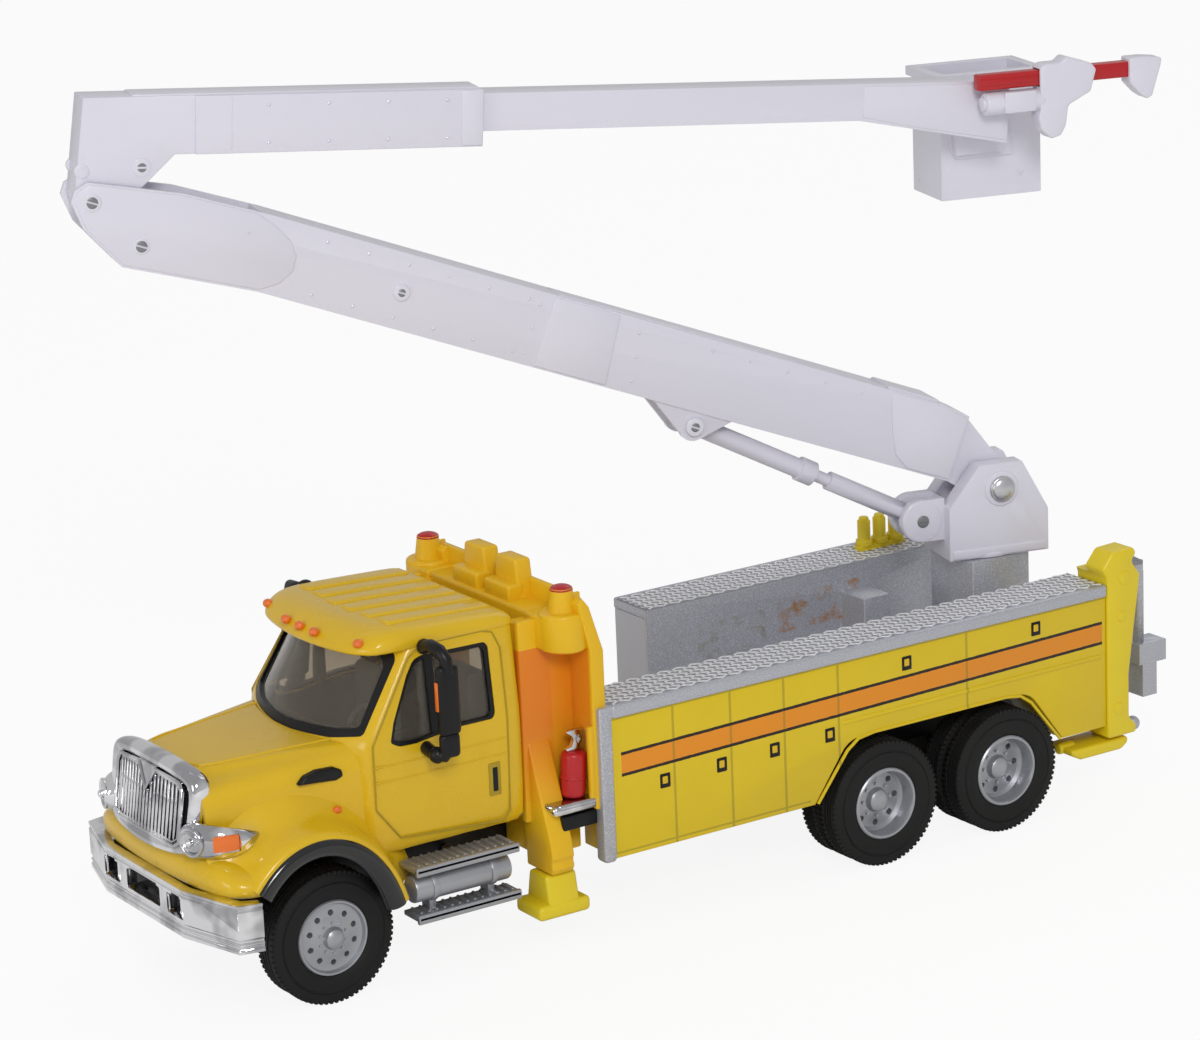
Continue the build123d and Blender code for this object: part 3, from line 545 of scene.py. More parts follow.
def plain_plastics(look):
    """Lemon, black, red, amber and grey plastics, the tyres' rubber and the screws' steel."""
    for name, slot, color, basics, spread in (
            ("lemon plastic", "lemon_plastic", look.lemon_plastic, {}, {"roughness": 0.36, "depth": 0.05}),
            ("black plastic", "black_plastic", (0.006, 0.006, 0.007), {}, {"roughness": 0.36, "depth": 0.2}),
            ("black gloss", "black_plastic", (0.004, 0.004, 0.005), {"coat": 0.5}, {"roughness": 0.15, "depth": 0.2}),
            ("tyre rubber", "black_tyre", look.rubber, {}, {"roughness": 0.62, "depth": 0.3, "bump": 0.25}),
            ("screw steel", "steel", (0.62, 0.62, 0.64), {"metallic": 0.9}, {"roughness": 0.3, "depth": 0.05}),
            ("red plastic", "red_plastic", look.red_plastic, {"coat": 0.1}, {"roughness": 0.34}),
            ("amber lens", "red_plastic", look.lens, {"coat": 0.5}, {"roughness": 0.2}),
            ("grey plastic", "grey_plastic", (0.26, 0.27, 0.29), {}, {"roughness": 0.5}),
            ("seat grey", "grey_plastic", (0.10, 0.10, 0.105), {}, {"roughness": 0.5}),
            # Painted shade: a darker cab yellow that stands in for the shade in door gaps and round the handles.
            ("painted recess shade", "yellow_paint", (0.40, 0.28, 0.012), {}, {"roughness": 0.6}),
            ("dark screw", "steel", (0.24, 0.25, 0.26), {"metallic": 0.5}, {"roughness": 0.35, "depth": 0.05})):
        f = Finish(name, slot, color, **basics)
        if name in ("black plastic", "tyre rubber"):
            f.set("Specular IOR Level", DULL)
        speckled(f, **spread)


def boom_plastic(look):
    """Glossy cool white plastic of the booms, turret and bucket, with a few faint marks."""
    color = tuple(look.boom_plastic)
    f = Finish("white plastic", "white_plastic", color, coat=0.25)
    cloud, _ = speckled(f, roughness=0.3, depth=0.012, bump=0.05)
    scuff = f.noise(0.35, 6, 0.7)
    mark = f.ramp(scuff, 0.70, 0.735)
    smear = f.ramp(f.noise(0.12, 5, 0.6), 0.5, 0.8)
    base = f.mix(cloud, shade(color, 0.985), shade(color, 1.015))
    base = f.mix(smear * 0.12, base, shade(color, 0.82))
    f.set("Base Color", f.mix(mark * 0.25, base, (0.34, 0.34, 0.38)))


def silver_paints(look):
    """Silver spray of the bed with fine flakes and rusty specks, the wheels' silver and the plate's ridges."""
    color = tuple(look.silver_paint)
    f = Finish("silver paint", "silver_paint", color, metallic=0.55, roughness=0.42)
    speckled(f, roughness=0.4, depth=0.08, bump=0.14)
    flake = f.ramp(f.noise(9.0, 1), 0.45, 0.75)
    base = f.mix(flake, shade(color, 0.86), shade(color, 1.3))
    stain = f.ramp(f.noise(0.5, 5, 0.75), 0.50, 0.64)
    wall = f.y.band(-8.8, -8.2)
    rust = stain * f.x.band(-71.5, -61.5) * f.z.band(16.6, 20.4) * wall
    moss = stain * f.x.band(-60.0, -52.0) * f.z.band(15.4, 19.4) * wall
    base = f.mix(rust * 0.8, base, (0.50, 0.21, 0.03))
    base = f.mix(moss * 0.5, base, (0.25, 0.22, 0.10))
    deck = f.z.above(21.9) * f.y.size().above(8.3) * f.y.size().below(13.5) * f.x.below(-27.4)
    f.set("Base Color", f.mix(deck * 0.9, base, shade(color, 0.5)))
    w = Finish("wheel silver", "silver_paint", (0.42, 0.43, 0.46), metallic=0.7, roughness=0.34)
    speckled(w, roughness=0.36, depth=0.16, bump=0.16)
    r = Finish("bright ridges", "silver_paint", (0.86, 0.86, 0.88), metallic=0.25, roughness=0.3)
    r.set("Roughness", r.noise(0.8, 2) * 0.1 + 0.25)


def plating(look):
    """Bright plated plastic, with reflections painted into its colour as darker and brighter blotches."""
    f = Finish("bright plating", "bright_metal", (0.74, 0.75, 0.77), metallic=1.0, roughness=0.08)
    # Painted reflection: noise blends the base colour between a dark and a bright grey.
    painted_reflection = f.ramp(f.noise(0.3, 2, 0.5), 0.42, 0.56)
    f.set("Base Color", f.mix(painted_reflection, (0.50, 0.50, 0.52), (0.86, 0.86, 0.88)))
    f.set("Roughness", f.noise(0.6, 3) * 0.08 + 0.03)
    f.bump(f.noise(2.5, 2), 0.05, 0.02)


def clear_window(look):
    """Clear moulded windows, slightly smoky."""
    f = Finish("clear window", "clear_plastic", look.window_tint, roughness=0.03)
    f.set("Transmission Weight", 0.92)
    f.set("IOR", 1.3)
    f.set("Roughness", f.noise(0.4, 2) * 0.03 + 0.015)


def make_finishes(look):
    """Every finish."""
    for build in (cab_paint, cabinet_paint, rack_plastic, plain_plastics, boom_plastic, silver_paints, plating,
                  clear_window):
        build(look)


# ---------------------------------------------------------------- wheels
WHEEL_Z = 6.05
TYRE_STEPS, WHEEL_STEPS = 96, 80
FRONT_FACE, REAR_FACE = 10.7, 14.0
AXLES = {"front": (0.0, FRONT_FACE, 3.0), "rear_1": (-57.4, REAR_FACE, 5.4), "rear_2": (-71.8, REAR_FACE, 5.4)}
AXLE_BODY = {"front": "front_axle", "rear_1": "rear_axle_1", "rear_2": "rear_axle_2"}
TWIN_GAP = 0.5
# One disc: outer face, outline of (radius, y), hand holes and nuts as (distance, radius, count, low y, high y).
FRONT_DISC = (FRONT_FACE, [(0, -2.8), (3.44, -2.8), (3.44, -0.18), (3.34, -0.04), (3.18, -0.06), (3.02, -0.38),
                           (2.75, -0.46), (1.85, -0.3), (1.6, -0.2), (1.05, -0.16), (0.92, 0.02), (0.86, 0.3),
                           (0.62, 0.48), (0.3, 0.56), (0, 0.58)], (2.28, 0.27, 10, 9.6, 11.0),
              (1.36, 0.13, 10, 10.4, 10.66))
REAR_DISC = (REAR_FACE, [(0, -5.3), (3.44, -5.3), (3.44, -0.12), (3.32, 0.0), (3.14, -0.02), (3.02, -0.3),
                         (2.98, -1.5), (2.7, -1.84), (2.2, -1.9), (1.6, -1.72), (1.2, -1.66), (1.08, -1.45),
                         (1.02, -1.1), (0.8, -0.92), (0.4, -0.84), (0, -0.82)], (2.3, 0.3, 8, 11.4, 12.6),
             (1.55, 0.17, 8, 12.1, 12.52))


def tyre_ring(inner, outer, lugs):
    """One tyre of the left side: rounded walls, tread grooves and a row of lugs on each shoulder."""
    w = outer - inner
    wall = [(3.46, 0.2), (3.62, 0.05), (4.3, 0.0), (5.1, 0.03), (5.72, 0.12), (5.95, 0.3)]
    tread = []
    for g in (0.34, 0.5, 0.66):
        tread += [(5.99, g * w - 0.13), (5.74, g * w - 0.09), (5.74, g * w + 0.09), (5.99, g * w + 0.13)]
    rib = [(5.95, w - 0.3), (5.72, w - 0.12), (5.12, w - 0.03), (5.06, w - 0.1), (4.98, w - 0.1), (4.92, w - 0.01),
           (4.3, w), (3.62, w - 0.05), (3.46, w - 0.2)]
    pieces = [lathe([(r, inner + y) for r, y in wall + tread + rib], TYRE_STEPS)]
    for low in (0.14, w - 0.66):
        lug = brick(-0.16, 0.16, inner + low, inner + low + 0.52, 5.6, 6.03, 0.04, 1)
        pieces.append(round_about(lug, lugs))
    return merge(*pieces)


def make_tyres(look):
    """All ten tyres; twins share one piece."""
    for name, (x, outer, width) in AXLES.items():
        for side, word in SIDES:
            half = (width - TWIN_GAP) / 2
            twins = [(outer - half, outer), (outer - width, outer - width + half)]
            spans = twins if width > 4 else [(outer - width, outer)]
            rubber_ring = on_side(merge(*[tyre_ring(*span, look.lug_count) for span in spans]), side)
            moved(rubber_ring, shift(x, 0, WHEEL_Z))
            dress(rubber_ring, f"{name}_tyre_{word}_tread", "tyre rubber", f"{name}_tyre_{word}",
                  body=AXLE_BODY[name], angle=40)


def wheel_disc(face, outline, holes, nuts):
    """A left wheel turned from its outline, with round hand holes and a ring of nuts."""
    disc = lathe([(r, face + y) for r, y in outline], WHEEL_STEPS)
    distance, radius, count, low, high = holes
    cut(disc, round_about(drum((0, distance), radius, "Y", low, high, 16), count))
    distance, radius, count, low, high = nuts
    return merge(disc, round_about(drum((0, distance), radius, "Y", low, high, 6), count))


def make_wheels(look):
    """Three wheelsets, each two wheels on one axle."""
    for name, (x, outer, width) in AXLES.items():
        disc = FRONT_DISC if name == "front" else REAR_DISC
        inner = outer - width + 0.3
        axle = drum((0, 0), 0.75, "Y", -inner, inner, 24, 0.05)
        wheels = merge(both(wheel_disc(*disc)), axle)
        moved(wheels, shift(x, 0, WHEEL_Z))
        dress(wheels, f"{name}_wheels", "wheel silver", f"{name}_wheelset", body=AXLE_BODY[name], angle=30)


# ---------------------------------------------------------------- cab
CAB_WALL, CAB_BACK = 0.8, -20.35
BELT_Z = 22.3


def cab_width(z):
    """Half the cab's width at a height."""
    return 10.45 + (z - 12) * 0.12 if z < 14 else (10.75 if z < 22 else 10.75 - (z - 22) * 0.108)


def cab_ring(z, inset):
    """Plan outline of the cab at a height, all round."""
    w = cab_width(z) - inset
    rear = CAB_BACK + inset
    rise = max(0.0, z - BELT_Z)
    centre = -1.5 - rise * 0.43 - inset
    corner = -4.2 - rise * 0.64 - inset * 0.7
    half = [(rear, 0), (rear, w * 0.5), (rear, w - 1.2), (rear + 0.16, w - 0.45), (rear + 0.55, w - 0.1),
            (rear + 1.3, w)]
    half += [(-16, w), (-13, w), (corner - 2.4, w), (corner - 1.1, w - 0.06), (corner - 0.3, w - 0.36)]
    reach = w - 0.85
    for part in (1.0, 0.86, 0.66, 0.42, 0.2):
        half.append((corner + (centre - corner) * (1 - part ** 2), reach * part))
    ring = half + [(centre, 0)] + [(x, -y) for x, y in reversed(half[1:])]
    return [(x, y, z) for x, y in ring] + [(*ring[0], z)]


def cab_form(inset):
    """Closed cab body, smaller all round by inset."""
    levels = (12.0 + inset, 12.5 + inset, 15, 18, 20.5, 22.2, 23.2, 25, 27, 29, 30.2, 31.0 - inset)
    return closed([cab_ring(z, inset) for z in levels], 1)


SCREEN = [(-9.6, 23.1), (-6.5, 22.6), (0, 22.4), (6.5, 22.6), (9.6, 23.1), (9.15, 29.2), (8.3, 30.1), (0, 30.5),
          (-8.3, 30.1), (-9.15, 29.2)]
DOOR_GLASS = [(-17.1, 22.3), (-13.8, 22.3), (-11.2, 22.0), (-9.3, 21.75), (-7.6, 21.8), (-6.7, 22.3), (-7.2, 24.0),
              (-9.0, 27.8), (-9.8, 29.0), (-10.6, 29.3), (-17.0, 29.2), (-17.35, 28.8), (-17.4, 22.7)]


def grown(points, by):
    """An outline pushed out from its middle, or in."""
    cx = sum(p[0] for p in points) / len(points)
    cz = sum(p[1] for p in points) / len(points)
    wide = max(abs(p[0] - cx) for p in points)
    tall = max(abs(p[1] - cz) for p in points)
    return [(cx + (x - cx) * (1 + by / wide), cz + (z - cz) * (1 + by / tall)) for x, z in points]


def screen_cutter(by=0.0):
    """Windscreen opening, grown by a margin."""
    return profile(grown(SCREEN, by), "X", -10.4, 3, 0.35, 3, 20)


def door_cutter(by=0.0):
    """Both door windows, grown by a margin."""
    return profile(grown(DOOR_GLASS, by), "Y", -14, 14, 0.35, 3, 20)


def rear_cutter(by=0.0):
    """Rear window, grown by a margin."""
    return brick(-22, -17.5, -6 - by, 6 + by, 23.6 - by, 27.8 + by, 0.6, 3)


def make_cab(look):
    """Hollow cab with its windows cut, gaskets, clear windows, black lining, seats and steering wheel."""
    shell = cut(cab_form(0), cab_form(CAB_WALL), screen_cutter(), door_cutter(), rear_cutter())
    dress(shell, "cab_body", "cab paint", "cab_shell")
    wide = look.seal_width / MM
    for name, opening, grow, into in (("screen", screen_cutter, 0.3, wide),
                                      ("door", door_cutter, 0.12, wide * 0.55),
                                      ("rear", rear_cutter, 0.2, wide * 0.6)):
        seal = cut(cab_form(0.1), opening(grow), mode="INTERSECT")
        cut(seal, cab_form(CAB_WALL), opening(-into))
        if name == "door":
            bars = both(brick(-11.75, -10.95, 9.2, 10.55, 21.6, 29.4, 0.1))
            seal = merge(seal, cut(bars, cab_form(0.15), mode="INTERSECT"))
        dress(seal, f"{name}_window_seal", "black plastic")
        pane = cut(cab_form(0.4), opening(0.2), mode="INTERSECT")
        cut(pane, cab_form(0.62))
        dress(pane, f"{name}_window_pane", "clear window", *(("glazing",) if name == "screen" else ()))
    seats = [carried("cab_interior", 0.3, 2)]
    seats += [brick(-14.5, -12.9, y - 2.0, y + 2.0, 17.0, 24.6, 0.8, 4) for y in (4.6, -4.6)]
    seats += [brick(-14.2, -13.2, y - 1.2, y + 1.2, 24.7, 26.6, 0.45, 4) for y in (4.6, -4.6)]
    steering = [(-7.4 - 1.0 * sin(a), 4.6 + 1.9 * cos(a), 22.4 + 1.4 * sin(a)) for a in turns(20)]
    seats.append(tube(steering, 0.22, 8, True))
    dress(merge(*seats), "cab_seats", "seat grey", "cab_interior", angle=40)
    walls = cut(cab_form(0.82), cab_form(1.0), screen_cutter(0.4), door_cutter(0.4), rear_cutter(0.4))
    dress(walls, "cab_lining", "black plastic")


# ---------------------------------------------------------------- roof, hood and fenders
def roof_top(x):
    """Height of the roof, a little higher at the front."""
    return 31.45 + (x + 20.4) * 0.045


def make_roof(look):
    """Roof cap with a rounded visor, broad lengthwise ribs, marker lamps and a horn."""
    rows = []
    for level, inset in ((0.0, 0.4), (0.16, 0.0), (0.4, -0.12), (0.66, 0.02), (0.86, 0.45), (0.97, 1.2),
                         (1.0, 2.2)):
        ring = []
        for x, y, _ in cab_ring(30.0, inset):
            front = max(0.0, (x + 12.5) / 7.5)
            push = 3.2 * min(1.0, abs(y) / 8.4) ** 2 * min(1.0, front * 2.2) * (1 - 0.3 * level)
            x2 = x + front * (1.05 - level * 1.7) + push
            ring.append((x2, y, 29.75 + level * (roof_top(x2) - 29.75) - 0.3 * front * (1 - level)))
        rows.append(ring)
    cap = closed(rows)
    ribs = []
    for i in range(6):
        y = (i - 2.5) * 2.75
        rib = brick(-19.2, -8.0 - abs(y) * 0.1, y - 0.95, y + 0.95, -0.5, 0.2, 0.34, 6)
        for vertex in rib.data.vertices:
            vertex.co.z += roof_top(vertex.co.x / MM) * MM - 0.02 * MM
        ribs.append(rib)
    dress(merge(cap, *ribs), "cab_roof", "cab paint", angle=70)
    places = ((-4.3, 0, 30.95), (-4.35, 2.5, 30.95), (-4.35, -2.5, 30.95), (-5.6, 8.0, 30.9), (-5.6, -8.0, 30.9))
    lamps = [ball(place, 0.52, (0.9, 1.0, 0.8), 16) for place in places]
    dress(merge(*lamps), "roof_markers", "amber lens")
    horn = merge(ball((-10.1, -9.2, 31.5), 0.55, (1.3, 1, 0.8), 16), drum((-10.1, -9.2), 0.25, "Z", 30.8, 31.5, 12))
    dress(horn, "roof_horn", "black plastic")


def make_hood(look):
    """Hood with its raised centre, front panel, fenders, vents, wheel-arch lips, markers and creases."""
    rows = []
    for s in (0.0, 0.04, 0.2, 0.4, 0.6, 0.8, 0.95, 1.0):
        top = 22.55 - 0.25 * s - 0.25 * s * s
        hw = 9.75 - 1.65 * s
        edge = (0.80 - 0.20 * s) * hw
        drop = 0.1 + 0.5 * s
        half = [(0, top), (edge * 0.5, top - 0.02), (edge * 0.86, top - 0.06), (edge, top - 0.14),
                (edge + 0.35, top - 0.14 - drop), (hw - 1.1, top - 0.5 - drop), (hw - 0.4, top - 1.0 - drop),
                (hw, top - 1.9 - drop), (hw + 0.1, 18.3), (hw + 0.15, 16.6), (hw + 0.1, 14.2)]
        row = []
        for y, z in [(-y, z) for y, z in reversed(half[1:])] + half:
            back = -1.5 - 2.7 * min(1.0, abs(y) / 9.6) ** 2
            row.append((back * (1 - s) + 10.25 * s, y, z))
        rows.append(row)
    top = sheet(rows, 0.5, -1)
    shape = [(1.9, 20.05), (1.2, 20.7), (0.0, 21.0), (-1.6, 21.0), (-2.4, 20.6), (-2.5, 20.0), (-1.8, 19.75),
             (0.2, 19.95)]
    vents = both(profile(shape, "Y", 7.6, 9.68, 0.2, 3))
    piece = merge(top, valance(), both(fender()))
    dress(piece, "hood_panel", "cab paint", "hood", angle=40)
    dress(vents, "hood_vents", "black plastic")
    dress(both(flare()), "arch_flares", "black gloss", angle=40)
    spots = both(ball((-1.45, 10.05, 17.3), 0.5, (0.9, 0.6, 0.7), 16))
    dress(spots, "fender_markers", "amber lens")
    lines = []
    for side in (1, -1):
        lines.append(tube([(9.0, side * 3.4, 22.12), (8.6, side * 4.5, 22.08), (7.2, side * 5.0, 22.13),
                           (-3.0, side * 6.6, 22.45)], 0.15, 10))
    dress(merge(*lines), "hood_creases", "cab paint")


ARCH = [(-5.4, 8.6), (-4.9, 10.2), (-4.0, 12.0), (-2.6, 13.8), (-0.8, 15.1), (1.3, 15.75), (3.4, 15.65),
        (5.3, 14.95), (6.8, 13.8), (7.9, 12.5)]


def arch_rows(section):
    """Rows of points that follow the wheel arch; section gives (y, distance outwards)."""
    rows = []
    for i, (x, z) in enumerate(ARCH):
        before, after = ARCH[max(0, i - 1)], ARCH[min(len(ARCH) - 1, i + 1)]
        dx, dz = after[0] - before[0], after[1] - before[1]
        length = hypot(dx, dz)
        nx, nz = -dz / length, dx / length
        rows.append([(x + nx * d, y, z + nz * d) for y, d in section])
    return rows


def fender():
    """Yellow fender swelling out from the hood over the left front wheel."""
    section = [(12.8, 0.35), (13.1, 0.5), (12.95, 0.8), (12.3, 1.05), (11.4, 1.25), (10.4, 1.6), (9.7, 2.25),
               (9.1, 3.2), (8.4, 3.9)]
    return sheet(arch_rows(section), 0.5)


def flare():
    """Black lip inside the left fender's edge, and the arch behind it."""
    section = [(12.5, 0.5), (13.2, 0.45), (13.5, 0.1), (13.45, -0.5), (13.1, -0.95), (12.4, -1.1), (11.75, -0.6),
               (11.2, 0.4), (10.6, 0.7), (9.0, 0.7), (7.4, 0.7)]
    return sheet(arch_rows(section), 0.35)


def valance():
    """Yellow panel that wraps round the front between the bumper and the grille."""
    plan = [(7.6, 13.1), (9.2, 12.9), (10.4, 12.0), (11.1, 10.2), (11.5, 7.8), (11.75, 5.0), (11.85, 2.4)]
    half = plan + [(11.9, 0)]
    around = half + [(x, -y) for x, y in reversed(plan)]
    rows = []
    for z, back in ((12.3, 0.5), (12.6, 0.15), (13.4, 0.0), (14.3, 0.1), (15.0, 0.5), (15.5, 1.3), (15.8, 2.6)):
        row = []
        for x, y in around:
            pull = 1 - back / 12.5
            drop = max(0.0, abs(y) - 10.0) * 0.45
            row.append((x - back, y * pull, 12.3 + (z - 12.3) * (1 - drop / 3.5)))
        rows.append(row)
    return sheet(rows, 0.5, -1)


# ---------------------------------------------------------------- front end
GRILLE_BARS = 19
GRILLE_FOOT, GRILLE_LEAN = 15.0, 0.15


def leaning(obj, foot_x):
    """Shears a piece back with height, so it follows the grille's lean."""
    for vertex in obj.data.vertices:
        vertex.co.x += (foot_x - (vertex.co.z / MM - GRILLE_FOOT) * GRILLE_LEAN) * MM
    return obj


def make_grille(look):
    """Plated grille: bulging surround, recessed frame with a V dip, and thin upright bars."""
    rows = []
    for depth, grow in ((-2.0, -0.8), (-1.95, -0.15), (-0.9, 0.12), (-0.25, 0.03), (0.0, -0.25), (-0.02, -0.7),
                        (-0.3, -1.05)):
        ring = []
        for y, z in ((-6.6, 15.1), (-3, 14.8), (0, 14.7), (3, 14.8), (6.6, 15.1), (7.3, 16.0), (7.6, 18.8),
                     (7.75, 21.2), (7.2, 22.2), (3.5, 22.75), (0, 22.9), (-3.5, 22.75), (-7.2, 22.2), (-7.75, 21.2),
                     (-7.6, 18.8), (-7.3, 16.0), (-6.6, 15.1)):
            cz = 18.7
            y2 = y * (1 + grow / 7.5)
            z2 = cz + (z - cz) * (1 + grow / 4.2)
            ring.append((12.45 + depth - (z2 - GRILLE_FOOT) * 0.14 - 0.012 * y2 * y2, y2, z2))
        rows.append(ring)
    shell = skin(rows)
    rounded(in_edit(shell, lambda: weld(FINE_WELD), outward))
    modify(shell, "SOLIDIFY", thickness=0.3 * MM, offset=-1)
    frame_line = [(-5.9, 16.2), (-5.2, 15.75), (5.2, 15.75), (5.9, 16.2), (6.0, 20.6), (5.4, 21.3), (1.5, 21.6),
                  (0, 19.5), (-1.5, 21.6), (-5.4, 21.3), (-6.0, 20.6)]
    ring = [(12.3 - (z - GRILLE_FOOT) * GRILLE_LEAN - 0.01 * y * y, y, z) for y, z in frame_line]
    pieces = [shell, tube(ring, 0.2, 8, True)]
    inner = [(x - 0.05, y * 0.93, 18.6 + (z - 18.6) * 0.9) for x, y, z in ring]
    pieces.append(tube(inner, 0.1, 6, True))
    for i in range(GRILLE_BARS):
        y = (i - (GRILLE_BARS - 1) / 2) * 0.6
        top = 21.35 if abs(y) > 1.4 else 19.5 + abs(y) * 1.3
        bar = brick(-0.12, 0.16, y - 0.16, y + 0.16, 15.8, top, 0.06, 1)
        for vertex in bar.data.vertices:
            vertex.co.x += (12.05 - (vertex.co.z / MM - GRILLE_FOOT) * GRILLE_LEAN - 0.01 * y * y) * MM
        pieces.append(bar)
    dip = profile([(-1.6, 21.8), (1.6, 21.8), (0.0, 19.5)], "X", -0.35, 0.05, 0.05)
    pieces.append(leaning(dip, 12.3))
    dress(merge(*pieces), "grille_plated", "bright plating", "grille", angle=50)
    # A black sheet behind the bars, standing in as painted shade.
    back = leaning(brick(-0.5, 0.0, -6.0, 6.0, 15.6, 21.5, 0.05), 11.5)
    dress(back, "grille_shadow", "black plastic")


def make_headlamps(look):
    """Wrap-round teardrop lamps: plated bezel, round reflector bowls and amber corner."""
    bezels, ambers = [], []
    for side in (1, -1):
        rows = []
        for x, y, low, high in ((12.0, 6.5, 16.2, 17.6), (12.0, 7.1, 15.4, 18.3), (11.6, 8.5, 15.2, 18.55),
                                (10.7, 9.7, 15.2, 18.4), (9.3, 10.6, 15.4, 18.1), (8.0, 10.95, 15.9, 17.7),
                                (7.2, 10.9, 16.7, 17.2)):
            mid = (low + high) / 2
            half = (high - low) / 2
            ring = []
            for k in range(13):
                a = 2 * pi * k / 12
                ring.append((x - 0.55 + 0.84 * cos(a), side * (y - 0.4 + 0.5 * cos(a)), mid + half * sin(a)))
            rows.append(ring)
        pod = closed(rows)
        cut(pod, ball((12.7, side * 8.2, 16.9), 1.15, (0.8, 1, 1), 28),
            ball((11.9, side * 9.9, 16.8), 0.55, (1.2, 1, 1), 20))
        pocket = profile([(12, side * 12.5), (11.0, side * 9.95), (9.9, side * 10.2), (8.5, side * 10.6),
                          (8.0, side * 12.5)], "Z", 16.1, 17.7)
        cut(pod, pocket)
        rim = tube([(11.75 - 0.35 * cos(a), side * (8.15 + 1.2 * cos(a)), 16.9 + 1.2 * sin(a)) for a in turns(28)],
                   0.2, 8, True)
        bulb = ball((11.95, side * 8.2, 16.9), 0.38, sides=14)
        flutes = [drum((side * (8.2 + k * 0.36), 16.9), 0.07, "X", 11.7, 11.95, 6) for k in (-2, -1, 1, 2)]
        bezels.append(merge(pod, rim, bulb, *flutes))
        lens = profile([(8.35, side * 10.3), (8.5, side * 10.78), (9.7, side * 10.62), (10.75, side * 10.15),
                        (10.4, side * 9.8)], "Z", 16.2, 17.6, 0.12)
        ambers.append(lens)
    dress(merge(*bezels), "headlamps", "bright plating", angle=50)
    dress(merge(*ambers), "corner_lenses", "amber lens")


def make_bumper(look):
    """Plated wrap-round bumper: centre opening, two side slots with a post in each, and grooves along it."""
    shell = carried("bumper", 0.0)
    cut(shell, *[brick(8, 14, y0, y1, 9.8, 11.6, 0.25, 3) for y0, y1 in ((-3.1, 3.1), (-7.4, -4.4), (4.4, 7.4))])
    soften(shell, 0.18, 3, 40)

    def along(out, z):
        half = [(8.5, 14.4 + out, z), (10.8, 13.9 + out, z), (12.6 + out, 7.3, z)]
        return half + [(x, -y, z) for x, y, _ in reversed(half)]

    cut(shell, tube(along(0.12, 9.25), 0.26, 16), tube(along(0.12, 8.75), 0.2, 16),
        tube(along(0.1, 12.05), 0.2, 12))
    posts = [drum((11.75, y), 0.3, "Z", 9.6, 11.8, 16) for y in (-5.9, 5.9)]
    dress(merge(shell, *posts), "bumper_plated", "bright plating", "bumper", angle=40)
    # A black block behind the openings, standing in as painted shade.
    dress(brick(10.2, 11.0, -9.4, 9.4, 9.2, 12.0, 0.1), "bumper_shadow", "black plastic")


def make_mirrors(look):
    """Door mirrors: a tall and a short head on two bent arms with round knobs, and an amber strip in front."""
    for side, word in SIDES:
        heads = merge(brick(-12.0, -9.9, 13.1, 14.1, 22.9, 29.2, 0.42, 4),
                      brick(-11.8, -9.9, 13.2, 14.1, 20.9, 23.1, 0.4, 4),
                      ball((-10.85, 10.2, 30.1), 0.68, sides=20), ball((-10.0, 12.9, 21.1), 0.75, sides=20))
        top = tube([(-10.9, side * 9.7, 29.9), (-10.7, side * 11.6, 30.5), (-10.7, side * 13.0, 30.4),
                    (-10.9, side * 13.6, 29.7), (-11.0, side * 13.6, 28.4)], 0.6, 20)
        low = tube([(-10.2, side * 10.6, 21.2), (-10.0, side * 12.6, 21.0), (-10.3, side * 13.5, 21.1),
                    (-10.8, side * 13.6, 21.7)], 0.6, 20)
        dress(merge(on_side(heads, side), top, low), f"mirror_{word}_head", "black plastic", f"mirror_{word}",
              angle=50)
        strip = brick(-10.0, -9.8, 13.3, 13.75, 25.2, 27.8, 0.05)
        dress(on_side(strip, side), f"mirror_{word}_strip", "amber lens")


def make_steps(look):
    """Two tread steps with the strapped tank between them, on each side."""
    for side, word in SIDES:
        pieces = []
        for z, y0, y1 in ((10.9, 9.6, 12.9), (6.55, 10.2, 12.9)):
            pieces.append(brick(-17.9, -7.3, y0, y1, z - 0.28, z + 0.2, 0.14))
            pieces.append(brick(-17.9, -7.3, y1 - 0.45, y1, z - 0.55, z + 0.35, 0.16))
            for i in range(13):
                x = -17.3 + i * 0.78
                tooth = brick(x - 0.16, x + 0.16, y0 + 0.3, y1 - 0.5, z + 0.1, z + 0.42, 0.1, 1)
                pieces.append(tooth)
        pieces.append(drum((11.4, 8.9), 1.22, "X", -17.2, -7.4, 32, 0.2))
        for x in (-15.4, -9.4):
            pieces.append(drum((11.4, 8.9), 1.36, "X", x - 0.3, x + 0.3, 32, 0.1))
            pieces.append(brick(x - 0.35, x + 0.35, 3.9, 11.6, 8.3, 9.1, 0.1))
            pieces.append(brick(x - 0.35, x + 0.35, 10.4, 11.8, 6.4, 10.9, 0.1))
        dress(on_side(merge(*pieces), side), f"steps_{word}", "wheel silver", f"step_tank_{word}")


